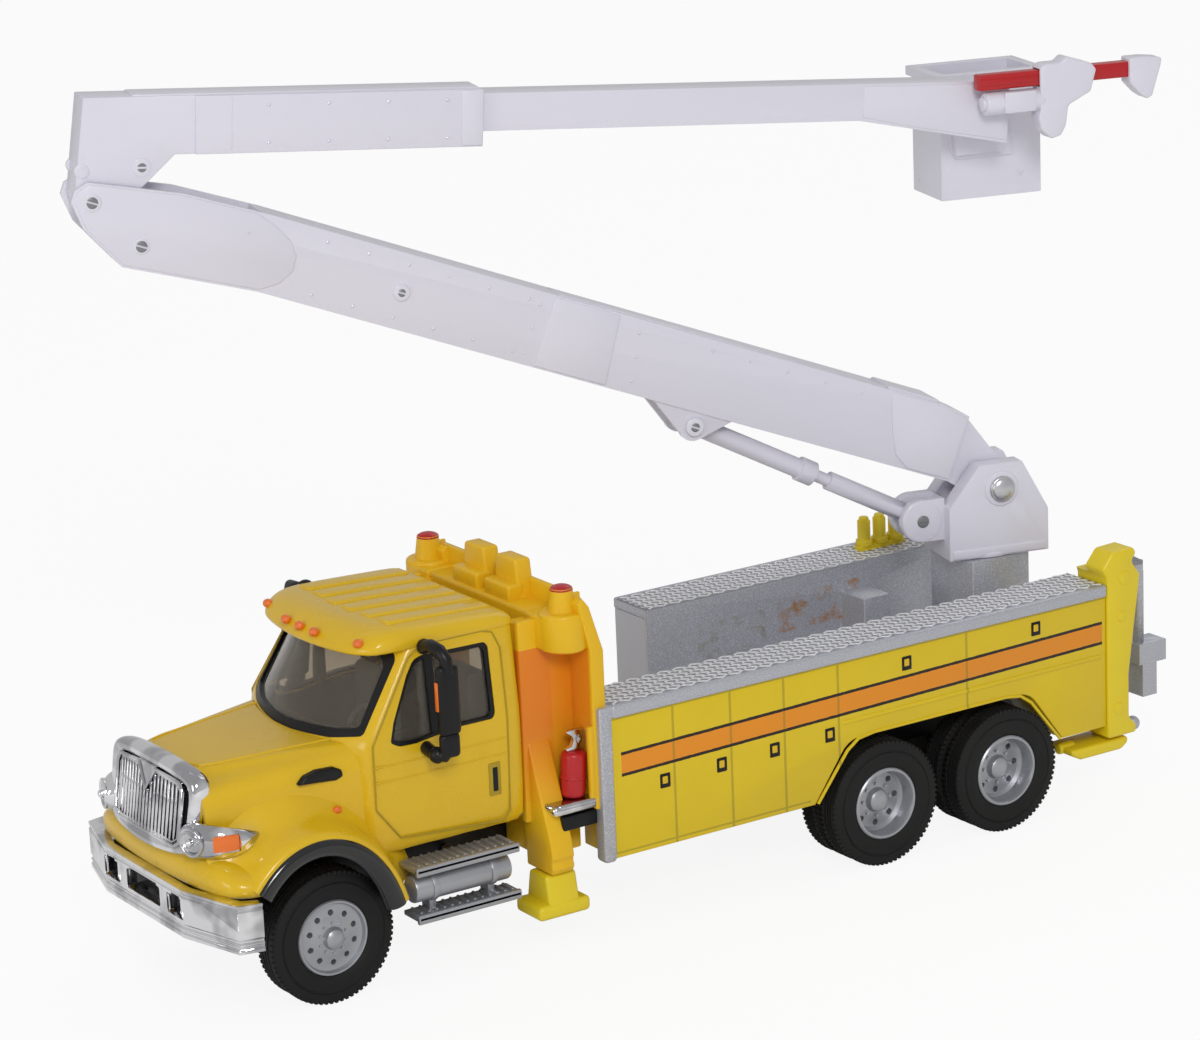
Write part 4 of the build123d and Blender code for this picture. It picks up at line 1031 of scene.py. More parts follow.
def make_doors(look):
    """Door gaps and handle plates in painted recess shade, side creases and handles."""
    for side, word in SIDES:
        y = side * 10.76
        door = [(-4.9, y, 22.4), (-4.9, y, 16.6), (-7.2, y, 13.6), (-17.7, y, 12.8), (-18.4, y, 13.6),
                (-18.55, y, 22.2), (-18.55, side * 10.1, 28.4), (-17.9, side * 9.9, 29.9),
                (-16.8, side * 9.86, 30.2), (-10.6, side * 9.86, 30.2), (-9.3, side * 9.95, 29.3), (-4.9, y, 22.4)]
        # The door gap is a thin tube of painted shade.
        dress(tube(door, 0.085, 8), f"door_{word}_gap", "painted recess shade")
        crease = [tube([(-4.8, side * 10.7, z), (-11.0, side * 10.72, z - 0.05), (-18.3, side * 10.72, z)], 0.1, 8)
                  for z in (20.4, 19.0)]
        dress(merge(*crease), f"door_{word}_crease", "cab paint", angle=60)
        # The plate round the handle is darker yellow, as painted shade round the handle.
        plate = brick(-17.55, -16.35, 10.6, 10.87, 15.3, 18.3, 0.1)
        dress(on_side(plate, side), f"door_{word}_plate", "painted recess shade")
        handle = brick(-17.2, -16.7, 10.7, 10.95, 15.7, 17.9, 0.08)
        dress(on_side(handle, side), f"door_{word}_handle", "black plastic")


# ---------------------------------------------------------------- rack and outriggers
LAMP_X, LAMP_Y = -24.35, 11.3


def tower():
    """Left channel tower: back plate with a sloped head, web, leg and lamp base."""
    edge = [(-27.1, 12.6), (-27.1, 27.2), (-25.8, 31.4), (-25.2, 32.2), (-24.6, 31.8), (-25.7, 27.4), (-25.7, 12.6)]
    back = profile(edge, "Y", 9.3, 13.5, 0.16, 3)
    web = brick(-26.9, -20.45, 9.2, 10.1, 11.6, 30.2, 0.2, 3)
    rib = brick(-25.9, -25.2, 12.9, 13.45, 13.7, 20.4, 0.15)
    lip = brick(-22.6, -20.5, 7.8, 9.4, 12.8, 30.0, 0.2)
    leg = profile([(7.4, 21.0), (9.4, 21.0), (13.2, 10.3), (13.45, 8.9), (13.2, 8.6), (13.45, 8.0), (13.1, 7.4),
                   (9.0, 7.4), (9.0, 9.0)], "X", -23.2, -20.9, 0.22, 3)
    base = drum((LAMP_X, LAMP_Y), 2.15, "Z", 27.4, 30.9, 48, 0.3, 3)
    bridge = brick(-26.4, -22.2, 8.2, 11.3, 27.5, 30.6, 0.3, 3)
    deselect()
    bpy.ops.mesh.primitive_cone_add(vertices=32, radius1=1.35 * MM, radius2=1.0 * MM, depth=2.5 * MM,
                                    location=(LAMP_X * MM, LAMP_Y * MM, 31.75 * MM))
    lamp = settle(bpy.context.active_object)
    fin = brick(-26.2, -24.4, 11.15, 11.5, 30.6, 32.3, 0.12)
    foot = brick(-26.4, -22.0, 3.8, 9.6, 7.9, 11.0, 0.2)
    return merge(back, web, rib, lip, leg, base, bridge, lamp, fin, foot)


def make_rack(look):
    """Gantry behind the cab with its lamps, and the tube shelves on both sides."""
    beam = brick(-26.4, -22.5, -9.0, 9.0, 27.3, 30.5, 0.35, 3)
    wall = profile([(-26.9, 27.2), (-26.8, 31.0), (-25.9, 32.2), (-25.3, 32.2), (-25.2, 27.2)], "Y", -11.6, 11.6,
                   0.2, 3)
    pieces = [beam, wall]
    for y in (-2.7, 2.7):
        pieces.append(profile([(y - 2.2, 30.2), (y + 2.2, 30.2), (y + 1.6, 34.0), (y - 1.6, 34.0)], "X", -25.7,
                              -24.0, 0.28, 3))
        pieces.append(brick(-24.6, -22.9, y - 2.1, y + 2.1, 30.1, 31.9, 0.3, 3))
    pieces.append(both(tower()))
    dress(merge(*pieces), "rack_gantry", "rack plastic", "rack", angle=40)
    caps = both(ball((LAMP_X, LAMP_Y, 32.85), 1.04, (1, 1, 0.42), 32))
    dress(caps, "rack_lamp_caps", "red plastic", angle=60)
    shelf = brick(-26.9, -21.3, 10.0, 13.4, 12.7, 13.75, 0.5, 4)
    rim = tube([(-26.7, 13.1, 13.5), (-22.2, 13.1, 13.5), (-21.5, 12.5, 13.5), (-21.4, 11.8, 13.5)], 0.3, 12)
    dress(both(merge(shelf, rim)), "rack_shelves", "bright plating", angle=60)
    bar = brick(-26.9, -22.4, 9.8, 13.0, 11.1, 12.5, 0.25)
    dress(both(bar), "rack_shelf_bars", "black plastic")


def make_extinguisher(look):
    """Red bottle with a band round it and a plated valve plate with a hook and a dial."""
    x, y = -24.3, 11.8
    bottle = drum((x, y), 1.13, "Z", 13.8, 18.0, 40, 0.42, 4)
    band = drum((x, y), 1.19, "Z", 15.5, 15.8, 40, 0.1)
    lean = shift(x, 0, 13.8) @ Matrix.Rotation(radians(-4), 4, "Y") @ shift(-x, 0, -13.8)
    dress(moved(merge(bottle, band), lean), "extinguisher_bottle", "red plastic", "extinguisher", angle=50)
    hook = [(x - 1.15, 19.7), (x - 1.15, 18.4), (x - 0.8, 17.9), (x + 0.6, 17.9), (x + 1.0, 18.25),
            (x + 0.35, 18.5), (x + 0.15, 19.0), (x + 0.35, 19.4), (x + 1.05, 19.85), (x + 0.5, 20.0),
            (x - 0.9, 20.0)]
    head = profile(hook, "Y", y - 0.25, y + 0.25, 0.08)
    dial = drum((x - 0.45, 19.1), 0.42, "Y", y, y + 0.42, 24, 0.1)
    centre = drum((x - 0.45, 19.1), 0.2, "Y", y, y + 0.5, 20, 0.05)
    dress(moved(merge(head, dial, centre), lean), "extinguisher_valve", "bright plating", angle=40)


def make_feet(look):
    """Four outrigger feet: tapered blocks on rounded pads."""
    for side, word in SIDES:
        block = profile([(9.3, 4.3), (13.3, 4.3), (12.7, 7.3), (9.9, 7.3)], "X", -23.7, -20.5, 0.3, 3)
        pad = brick(-24.75, -19.35, 9.2, 13.4, 3.4, 4.8, 0.45, 4)
        stem = brick(-22.65, -21.45, 9.75, 11.4, 6.5, 11.6, 0.1)
        foot = merge(block, pad, stem)
        dress(on_side(foot, side), f"front_foot_{word}_block", "lemon plastic", f"front_foot_{word}",
              body=f"front_foot_{word}", angle=40)
        shape = [(-79.9, 6.1), (-80.1, 5.5), (-81.2, 4.95), (-86.2, 4.95), (-87.05, 5.5), (-87.05, 6.15)]
        pad = profile(shape, "Y", 9.9, 13.8, 0.4, 3)
        stem = brick(-87.05, -84.95, 10.8, 12.9, 5.5, 12.4, 0.15)
        cuff = drum((11.85, 5.9), 0.55, "X", -81.6, -79.7, 24, 0.2)
        foot = merge(pad, stem, cuff)
        dress(on_side(foot, side), f"rear_foot_{word}_block", "lemon plastic", f"rear_foot_{word}",
              body=f"rear_foot_{word}", angle=40)


def make_rear_outriggers(look):
    """Rear outrigger arms folded against the body: hooked head, twin slots and pivot bosses."""
    shape = [(-84.25, 6.5), (-84.25, 22.6), (-83.6, 23.6), (-84.9, 25.1), (-87.5, 25.2), (-87.9, 24.6),
             (-87.3, 23.8), (-88.35, 22.4), (-88.1, 20.6), (-87.6, 17.4), (-86.9, 12.6), (-86.9, 8.2),
             (-87.75, 7.4), (-87.75, 6.5)]
    for side, word in SIDES:
        arm = profile(shape, "Y", 9.55, 14.2, 0.3, 3)
        cut(arm, brick(-89, -83, 9.0, 11.6, 22.9, 26.0, 0.2))
        for y in (11.05, 12.65):
            cut(arm, brick(-89, -86.3, y - 0.32, y + 0.32, 17.6, 24.4, 0.1))
        cut(arm, brick(-87.15, -84.85, 10.7, 13.0, 5.9, 13.0))
        for x, z, radius in ((-86.3, 22.4, 0.7), (-86.0, 18.6, 0.55), (-85.5, 9.4, 0.6)):
            arm = merge(arm, drum((x, z), radius, "Y", 14.0, 14.3, 28, 0.1))
        dress(on_side(arm, side), f"rear_outrigger_{word}_arm", "lemon plastic", f"rear_outrigger_{word}", angle=35)


def make_rear_frame(look):
    """Cross-beam at the tail with bent pipes, lamp blocks and the tow knob."""
    frame_piece = carried("rear_frame", 0.15, 2)
    pipe = tube([(-88.3, 10.0, 22.4), (-90.4, 10.0, 22.5), (-91.3, 10.0, 22.0), (-91.6, 10.0, 21.0),
                 (-91.6, 10.0, 13.6)], 0.55, 16)
    knob = merge(drum((0, 9.2), 0.95, "X", -88.8, -88.3, 28, 0.15), drum((0, 9.2), 0.6, "X", -88.4, -85.4, 24))
    stub = merge(drum((10.0, 5.7), 0.5, "X", -90.9, -87.4, 20, 0.1), ball((-90.8, 10.0, 5.7), 0.72, sides=20),
                 drum((-89.2, 10.0), 0.45, "Z", 5.7, 9.0, 20))
    dress(merge(frame_piece, both(pipe), knob, both(stub)), "tail_frame", "silver paint", "rear_frame", angle=35)
    lenses = both(brick(-94.25, -93.9, 9.3, 10.6, 12.3, 13.4, 0.1))
    dress(lenses, "tail_lenses", "wheel silver")


# ---------------------------------------------------------------- body
LATCHES = ((-32.8, 13.9), (-39.0, 14.0), (-44.9, 14.1), (-51.15, 14.15), (-60.15, 19.2), (-75.55, 19.4))


def make_cabinets(look):
    """Cabinet blocks with their latches, and a rib and an arch line over the wheels."""
    for side, word, front in ((1, "left", -27.3), (-1, "right", -46.2)):
        block = carried(f"cabinet_{word}", 0.12, 2)
        rib = on_side(brick(-83.6, -52.5, 13.7, 14.03, 14.78, 15.22, 0.14, 3), side)
        lip = [(-49.6, 7.8), (-53.1, 12.2), (-54.4, 13.1), (-56.2, 13.35), (-71.8, 13.35), (-73.6, 13.1),
               (-74.9, 12.2), (-78.4, 7.8)]
        arch = tube([(x, side * 13.86, z) for x, z in lip], 0.16, 8)
        dress(merge(block, rib, arch), f"cabinet_{word}_doors", "cabinet paint", f"cabinet_{word}", angle=35)
        places = [(x, z) for x, z in LATCHES if x < front - 1]
        frames = [brick(x - 0.55, x + 0.55, 13.8, 13.99, z - 0.68, z + 0.68, 0.12, 2) for x, z in places]
        pads = [brick(x - 0.22, x + 0.34, 13.9, 14.06, z - 0.26, z + 0.44, 0.1, 2) for x, z in places]
        dress(on_side(merge(*frames), side), f"latch_{word}_frames", "black plastic")
        dress(on_side(merge(*pads), side), f"latch_{word}_pads", "cab paint")


DECK_Z, RIDGE_WIDTH, RIDGE_HEIGHT, SHORTEST_RIDGE = 21.97, 0.2, 0.1, 0.4


def ridges(x0, x1, y0, y1, pitch):
    """Crossing raised lines of a tread plate inside a rectangle."""
    bars = []
    span = y1 - y0
    for lean in (1, -1):
        reach = span * 1.7
        count = int((x1 - x0 + reach) / pitch)
        for i in range(count):
            start = x0 - (reach if lean > 0 else 0) + i * pitch
            end = start + lean * reach
            (ax, ay), (bx, by) = [(x2, y + (x2 - x) * span / (end - start)) for x, y,
                                  x2 in ((start, y0, min(max(start, x0), x1)), (end, y1, min(max(end, x0), x1)))]
            if hypot(ax - bx, ay - by) < SHORTEST_RIDGE:
                continue
            long = hypot(bx - ax, by - ay)
            bar = brick(-long / 2, long / 2, -RIDGE_WIDTH / 2, RIDGE_WIDTH / 2, 0, RIDGE_HEIGHT)
            turn = Matrix.Rotation(atan2(by - ay, bx - ax), 4, "Z")
            bars.append(moved(bar, shift((ax + bx) / 2, (ay + by) / 2, DECK_Z) @ turn))
    return merge(*bars)


def make_bed(look):
    """Silver bed with its corner guard, deck edges and bolts, and the raised plate pattern on the decks."""
    bed = carried("bed", 0.14, 2)
    guard = brick(-27.35, -26.1, 12.5, 14.0, 7.5, 21.4, 0.3, 3)
    lip = [brick(-84.15, -27.4, 13.55, 14.12, 20.85, 22.02, 0.18, 3),
           brick(-84.15, -46.3, -14.12, -13.55, 20.85, 22.02, 0.18, 3)]
    bolts = [drum((x, -6.6), 0.35, "Z", 13.0, 13.35, 16, 0.05) for x in (-31, -38, -45)]
    dress(merge(bed, guard, *lip, *bolts), "bed_panels", "silver paint", "bed", angle=30)
    left = ridges(-84.0, -27.5, 8.45, 13.45, look.plate_pitch / MM)
    right = ridges(-84.0, -46.4, -13.45, -8.45, look.plate_pitch / MM)
    dress(merge(left, right), "deck_ridges", "bright ridges", shade=False)


def make_deck_posts(look):
    """Row of three lemon holders on the far deck."""
    pieces = [carried("deck_posts", 0.15, 2)]
    for x in (-78.2, -76.3, -74.4):
        pieces.append(drum((x, -11.3), 0.5, "Z", 24.4, 25.4, 24, 0.15))
        pieces.append(drum((x, -11.3), 0.85, "Z", 22.4, 23.1, 24, 0.15))
    dress(merge(*pieces), "deck_holders", "lemon plastic", "deck_posts", angle=40)


def make_chassis(look):
    """Frame rails with the drive-shaft, air tank and engine."""
    rails = carried("chassis_frame", 0.12, 2)
    shaft = drum((0, 8.4), 0.6, "X", -70, -16, 20)
    tank = drum((-5.6, 8.6), 1.3, "X", -48, -36, 28, 0.3)
    engine = brick(-9, 6, -2.3, 2.3, 7.3, 11.0, 0.6, 3)
    dress(merge(rails, shaft, tank, engine), "chassis_rails", "black plastic", "chassis_frame", angle=35)


# ---------------------------------------------------------------- boom
PIN, CLEVIS = (-1.0, 30.2), (6.7, 27.5)
SLEW = shift(-80, 0, 0) @ Matrix.Rotation(radians(-15), 4, "Z")
LOWER = SLEW @ shift(PIN[0], 0, PIN[1]) @ Matrix.Rotation(radians(-21.2), 4, "Y")
UPPER = SLEW @ shift(85.31, 0, 66.788) @ Matrix.Rotation(radians(-3.9), 4, "Y")


def screw(x, z, radius, y):
    """A domed screw head with its slot, lying on the plane y on the left."""
    head = drum((x, z), radius, "Y", y - 0.3, y + 0.16, 28, 0.12, 3)
    return cut(head, brick(x - radius, x + radius, y + 0.06, y + 0.4, z - 0.09, z + 0.09))


def rivets(points, y, size):
    """Small rivet heads on the left."""
    return [ball((x, y, z), size, (1, 0.7, 1), 8) for x, z in points]


def make_turret(look):
    """Turret with its ring, cylinder seats and side pads, the main pin and the clevis bolts."""
    body = carried("turret", 0.3, 3)
    ring = moved(drum((0, 0), 3.5, "Z", 23.45, 23.95, 64, 0.12), SLEW)
    seat = drum(CLEVIS, 2.15, "Y", 0.9, 1.95, 40, 0.25, 3)
    pad = drum(PIN, 1.75, "Y", 3.1, 3.38, 48, 0.1)
    plate = brick(-5.6, 4.2, 3.1, 3.4, 23.6, 24.5, 0.12)
    extra = moved(both(merge(seat, pad, plate)), SLEW)
    dress(merge(body, ring, extra), "turret_body", "white plastic", "turret", body="turret", angle=35)
    head = merge(drum(PIN, 1.3, "Y", 3.0, 3.7, 48, 0.2, 3), ball((PIN[0], 3.62, PIN[1]), 1.15, (1, 0.38, 1), 36))
    pin = merge(drum(PIN, 0.88, "Y", -3.3, 3.3, 32), both(head))
    dress(moved(pin, SLEW), "main_pin_heads", "screw steel", "main_pin", body="turret", angle=60)
    bolts = both(screw(*CLEVIS, 0.62, 1.9))
    dress(moved(bolts, SLEW), "clevis_bolts", "dark screw", body="turret", angle=50)


def make_lower_boom(look):
    """Lower boom with its doubling plates, seams, bosses, rivets and screws."""
    boom = carried("lower_boom", look.edge_round / MM * 1.6, 3)
    elbow = [(95.2, 2.5), (95.2, 3.5), (94.4, 4.4), (86.0, 5.75), (79.0, 6.0), (76.9, 5.3), (75.3, 4.4),
             (74.4, 3.2), (74.3, 1.8), (75.2, 0.4), (76.8, -0.6), (89.3, -1.7), (93.5, 0.5)]
    root = [(14.0, 6.05), (8.7, 6.05), (5.55, 5.6), (5.55, -0.6), (10.0, -0.65), (11.6, 0.3), (12.6, 2.2),
            (13.4, 4.2)]
    panel = [(42.2, -0.65), (49.5, -0.65), (49.5, 6.05), (42.9, 6.05)]
    plates = ((elbow, 0.1), (root, 0.14), (panel, 0.1))
    bosses = ((63.9, 2.6, 0.8), (32.3, -2.2, 0.9), (93.7, 2.9, 0.85), (88.3, 0.35, 0.75))
    pieces = [profile(outline, "Y", 2.4, 2.6 + proud, 0.1, 2) for outline, proud in plates]
    pieces += [drum((x, z), radius, "Y", 2.2, 2.77, 36, 0.12, 3) for x, z, radius in bosses]
    points = [(s, 5.2) for s in range(52, 74, 4)] + [(s, 0.2) for s in range(52, 74, 4)]
    points += [(40.6, 4.9), (40.2, 2.7), (39.9, 0.4), (50.8, 5.0), (50.8, 2.7), (50.8, 0.3), (46.0, 5.2),
               (45.6, 0.1)]
    points += [(17.0 + 4 * i, 5.2) for i in range(5)]
    pieces += rivets(points, 2.62, look.rivet / MM)
    top = [brick(8.8, 14.4, -2.3, 2.3, 6.0, 6.5, 0.2, 3), brick(14.4, 49.0, -1.9, 1.9, 6.05, 6.3, 0.15)]
    details = moved(merge(both(merge(*pieces)), *top), LOWER)
    dress(merge(boom, details), "lower_boom_body", "white plastic", "lower_boom", body="lower_boom", angle=35)
    places = ((93.7, 2.9, 0.6), (88.3, 0.35, 0.6), (63.9, 2.6, 0.42), (32.3, -2.2, 0.5))
    heads = both(merge(*[screw(x, z, radius * 0.9, 2.68) for x, z, radius in places]))
    dress(moved(heads, LOWER), "lower_boom_screws", "dark screw", body="lower_boom", angle=50)


def make_cylinder(look):
    """Lift cylinder: the barrel, and the rod with a round sleeve along it."""
    barrel = carried("lift_barrel", 0.15, 3)
    dress(barrel, "cylinder_barrel", "white plastic", "lift_barrel", body="lift_barrel", angle=40)
    low, high = Vector((CLEVIS[0], 0, CLEVIS[1])), Vector((29.91, 0, 39.83))
    along = (high - low).normalized()
    sleeve = tube([low + along * 0.8, low + along * 6.6, low + along * 10.2], 0.92, 32)
    rod = merge(carried("lift_rod", 0.12, 3), moved(sleeve, SLEW))
    dress(rod, "cylinder_rod", "white plastic", "lift_rod", body="lift_rod", angle=40)


def make_upper_boom(look):
    """Elbow block and sleeve with its seam, top plate, end collar, boss and screw."""
    boom = carried("upper_boom", look.edge_round / MM * 1.6, 3)
    pieces = [brick(-35.9, -33.9, 2.2, 2.52, 4.1, 9.15, 0.1), drum((0.75, 2.7), 0.7, "Y", 1.5, 2.05, 28, 0.12),
              drum((-4.6, 2.9), 0.85, "Y", 1.5, 2.05, 32, 0.04), brick(-12.67, -12.53, 2.3, 2.44, 4.3, 9.0, 0.05)]
    points = [(-16 - 5.5 * i, 8.3) for i in range(4)] + [(-16 - 5.5 * i, 4.9) for i in range(4)]
    pieces += rivets(points, 2.42, look.rivet / MM)
    top = brick(-35.7, -3.8, -1.7, 1.7, 9.05, 9.36, 0.12, 3)
    details = moved(merge(both(merge(*pieces)), top), UPPER)
    dress(merge(boom, details), "upper_boom_sleeve", "white plastic", "upper_boom", body="upper_boom", angle=35)
    heads = both(screw(-4.6, 2.9, 0.5, 1.9))
    dress(moved(heads, UPPER), "upper_boom_screws", "dark screw", body="upper_boom", angle=50)


def make_inner_boom(look):
    """Telescoping inner boom with a line where its deeper tip begins."""
    boom = carried("inner_boom", look.edge_round / MM * 1.4, 3)
    outline = [(-87.8, 3.1), (-87.8, 8.5), (-73.2, 8.5), (-73.2, 5.6), (-78.2, 4.6)]
    tip = moved(both(profile(outline, "Y", 1.6, 1.93, 0.08)), UPPER)
    dress(merge(boom, tip), "inner_boom_body", "white plastic", "inner_boom", body="inner_boom", angle=35)


def make_bucket(look):
    """Work bucket with a flared rim, ribs on its outside and a grey floor mat."""
    shell = carried("bucket", 0.4, 4)
    pieces = [brick(x - 0.25, x + 0.25, -10.68, -10.3, 58.4, 68.4, 0.1) for x in (-6.6, -3.4, -0.2)]
    pieces.append(profile([(-5.6, 61.4), (0.3, 61.4), (1.0, 62.4), (1.0, 66.4), (0.4, 67.2), (-4.4, 67.2),
                           (-5.0, 66.4)], "Y", -3.7, -3.25, 0.15, 3))
    details = moved(merge(*pieces), SLEW)
    dress(merge(shell, details), "bucket_shell", "white plastic", "bucket", body="bucket", angle=35)
    mat = brick(-7.9, 1.1, -9.8, -4.2, 58.1, 58.35, 0.1)
    dress(moved(mat, SLEW), "bucket_mat", "grey plastic", body="bucket")


def make_jib(look):
    """Jib: head plate with its lugs, drum and sheave, red bar and hooked tip."""
    outline = [(-5.1, 70.9), (-5.6, 71.2), (-7.2, 71.2), (-7.8, 71.75), (-10.4, 70.9), (-10.9, 70.3), (-10.3, 68.2),
               (-9.4, 67.8), (-8.0, 67.1), (-7.7, 65.2), (-7.2, 64.3), (-6.2, 64.05), (-5.2, 64.9), (-4.9, 66.1),
               (-5.1, 66.9)]
    head = profile(outline, "Y", 2.35, 4.45, 0.22, 3)
    cut(head, brick(-14, 2, 2.62, 4.18, 69.05, 70.75))
    barrel = drum((3.4, 67.8), 1.1, "X", -5.7, 0.3, 36, 0.25, 3)
    cup = drum((3.4, 67.8), 0.7, "X", 0.1, 0.55, 28, 0.1)
    ear = brick(-4.6, -1.4, 4.3, 4.6, 66.9, 68.9, 0.15)
    dress(moved(merge(head, barrel, cup, ear), SLEW), "jib_head_plate", "white plastic", "jib_head", body="jib",
          angle=35)
    bar = brick(-14.5, 1.05, 2.72, 4.08, 69.15, 70.65, 0.18, 3)
    rib = brick(-5.0, 0.9, 4.0, 4.16, 69.6, 70.2, 0.08)
    dress(moved(merge(bar, rib), SLEW), "jib_red_bar", "red plastic", "jib_bar", body="jib")
    tip = profile([(-14.35, 71.0), (-16.0, 71.0), (-17.7, 70.8), (-17.6, 70.1), (-16.7, 67.2), (-16.2, 66.95),
                   (-15.4, 67.5), (-14.35, 68.6)], "Y", 2.35, 4.45, 0.2, 3)
    dress(moved(tip, SLEW), "jib_hook_tip", "white plastic", "jib_tip", body="jib", angle=40)


# ---------------------------------------------------------------- stage
LAMP_AIM = Vector((-0.04, 0.0, 0.035))
CAMERA_PLACE = (0.154762, 0.295664, 0.131856)
CAMERA_RIGHT = (-0.83331, 0.55126, -0.04121)
CAMERA_UP = (-0.18026, -0.20051, 0.96297)
CAMERA_AHEAD = (-0.52258, -0.80988, -0.26646)
LENS, SENSOR = 120, 36


def make_floor(look):
    """Pale floor that the camera sees as almost plain white."""
    deselect()
    bpy.ops.mesh.primitive_plane_add(size=6.0, location=(0, 0, 0))
    floor = bpy.context.active_object
    floor.name = "floor"
    mat = bpy.data.materials.new("pale floor")
    mat.use_nodes = True
    graph = Graph(mat.node_tree)
    shader = graph.tree.nodes["Principled BSDF"]
    graph.feed(shader.inputs["Base Color"], (0.93, 0.93, 0.93, 1))
    graph.feed(shader.inputs["Roughness"], 0.9)
    glow = graph.node("ShaderNodeEmission", {}, Strength=1.0)
    share = graph.node("ShaderNodeLightPath", {}, out="Is Camera Ray") * look.floor_glow
    blend = graph.node("ShaderNodeMixShader", {}, share, Value(graph, shader.outputs[0]), glow)
    graph.feed(graph.tree.nodes["Material Output"].inputs["Surface"], blend)
    floor.data.materials.append(mat)


def make_sky(look):
    """White light from all round, full strength where the camera sees it."""
    world = bpy.data.worlds.new("studio")
    bpy.context.scene.world = world
    world.use_nodes = True
    graph = Graph(world.node_tree)
    seen = graph.node("ShaderNodeLightPath", {}, out="Is Camera Ray")
    through = Value(graph, seen.socket.node.outputs["Is Transmission Ray"])
    strength = graph.node("ShaderNodeMapRange", {}, seen.math("MAXIMUM", through), None, None, look.sky_light, 1.0)
    background = graph.tree.nodes["Background"]
    graph.feed(background.inputs[0], (1, 1, 1, 1))
    graph.feed(background.inputs[1], strength)


def make_stage(look):
    """Pale floor, soft lights and the camera."""
    make_floor(look)
    make_sky(look)
    for name, where, size, power in (("key lamp", (0.22, 0.50, 0.38), 0.16, look.key_power),
                                     ("front lamp", (0.62, 0.08, 0.16), 0.2, 0.5),
                                     ("rear lamp", (-0.5, -0.2, 0.5), 0.35, 0.4)):
        deselect()
        bpy.ops.object.light_add(type="AREA", location=where)
        lamp = bpy.context.active_object
        lamp.name = name
        lamp.data.size = size
        lamp.data.energy = power
        lamp.rotation_euler = (LAMP_AIM - Vector(where)).to_track_quat("-Z", "Y").to_euler()
    deselect()
    bpy.ops.object.camera_add()
    camera = bpy.context.active_object
    turn = Matrix((CAMERA_RIGHT, CAMERA_UP, [-c for c in CAMERA_AHEAD])).transposed()
    camera.matrix_world = Matrix.Translation(CAMERA_PLACE) @ turn.to_4x4()
    camera.data.lens = LENS
    camera.data.sensor_width = SENSOR
    camera.data.clip_start = 0.01
    camera.data.clip_end = 10
    bpy.context.scene.camera = camera
    bpy.context.scene.view_settings.view_transform = "Standard"


# ---------------------------------------------------------------- settings
class TruckLook(bpy.types.PropertyGroup):
    """Sizes and colours that the pieces are built with."""
    cab_paint: FloatVectorProperty(name="Cab paint", description="Colour of the cab and hood", subtype="COLOR",
                                   size=3, min=0, max=1, default=(0.72, 0.46, 0.011))
    cabinet_paint: FloatVectorProperty(name="Cabinet paint", description="Colour of the cabinet blocks",
                                       subtype="COLOR", size=3, min=0, max=1, default=(0.72, 0.52, 0.013))
    stripe_paint: FloatVectorProperty(name="Stripe", description="Colour of the band along the cabinets",
                                      subtype="COLOR", size=3, min=0, max=1, default=(0.78, 0.27, 0.012))
    rack_plastic: FloatVectorProperty(name="Rack plastic", description="Colour of the gantry", subtype="COLOR",
                                      size=3, min=0, max=1, default=(0.80, 0.49, 0.012))
    lemon_plastic: FloatVectorProperty(name="Lemon plastic", description="Colour of the outriggers and holders",
                                       subtype="COLOR", size=3, min=0, max=1, default=(0.78, 0.60, 0.015))
    boom_plastic: FloatVectorProperty(name="Boom plastic", description="Colour of the booms, turret and bucket",
                                      subtype="COLOR", size=3, min=0, max=1, default=(0.72, 0.705, 0.79))
    silver_paint: FloatVectorProperty(name="Silver paint", description="Colour of the bed and decks",
                                      subtype="COLOR", size=3, min=0, max=1, default=(0.52, 0.53, 0.58))
    red_plastic: FloatVectorProperty(name="Red plastic", description="Colour of the bottle and the jib bar",
                                     subtype="COLOR", size=3, min=0, max=1, default=(0.46, 0.006, 0.01))
    lens: FloatVectorProperty(name="Amber lens", description="Colour of the marker lamps", subtype="COLOR", size=3,
                              min=0, max=1, default=(0.80, 0.16, 0.01))
    rubber: FloatVectorProperty(name="Rubber", description="Colour of the tyres", subtype="COLOR", size=3, min=0,
                                max=1, default=(0.008, 0.008, 0.008))
    window_tint: FloatVectorProperty(name="Window tint", description="Colour of the windows", subtype="COLOR",
                                     size=3, min=0, max=1, default=(0.62, 0.56, 0.47))
    edge_round: FloatProperty(name="Edge rounding", description="Rounding of the boom's edges", unit="LENGTH",
                              min=0.00002, max=0.0004, default=0.00014, precision=5)
    seal_width: FloatProperty(name="Gasket width", description="Width of the windscreen gasket", unit="LENGTH",
                              min=0.0002, max=0.0012, default=0.00075, precision=5)
    rivet: FloatProperty(name="Rivet radius", description="Radius of the boom's rivets", unit="LENGTH", min=0.00005,
                         max=0.0003, default=0.00016, precision=5)
    plate_pitch: FloatProperty(name="Plate pitch", description="Spacing of the deck's raised lines", unit="LENGTH",
                               min=0.0006, max=0.003, default=0.0017, precision=5)
    lug_count: IntProperty(name="Tyre lugs", description="Lugs round each tyre shoulder", min=24, max=90,
                           default=72)
    key_power: FloatProperty(name="Key lamp", description="Power of the main lamp", unit="POWER", min=0.1, max=5,
                             default=1.42)
    sky_light: FloatProperty(name="Sky light", description="Strength of the light from all round", min=0, max=1,
                             default=0.5)
    floor_glow: FloatProperty(name="Floor whiteness",
                              description="Share of plain white in the floor as the camera sees it",
                              subtype="FACTOR", min=0, max=1, default=0.9)


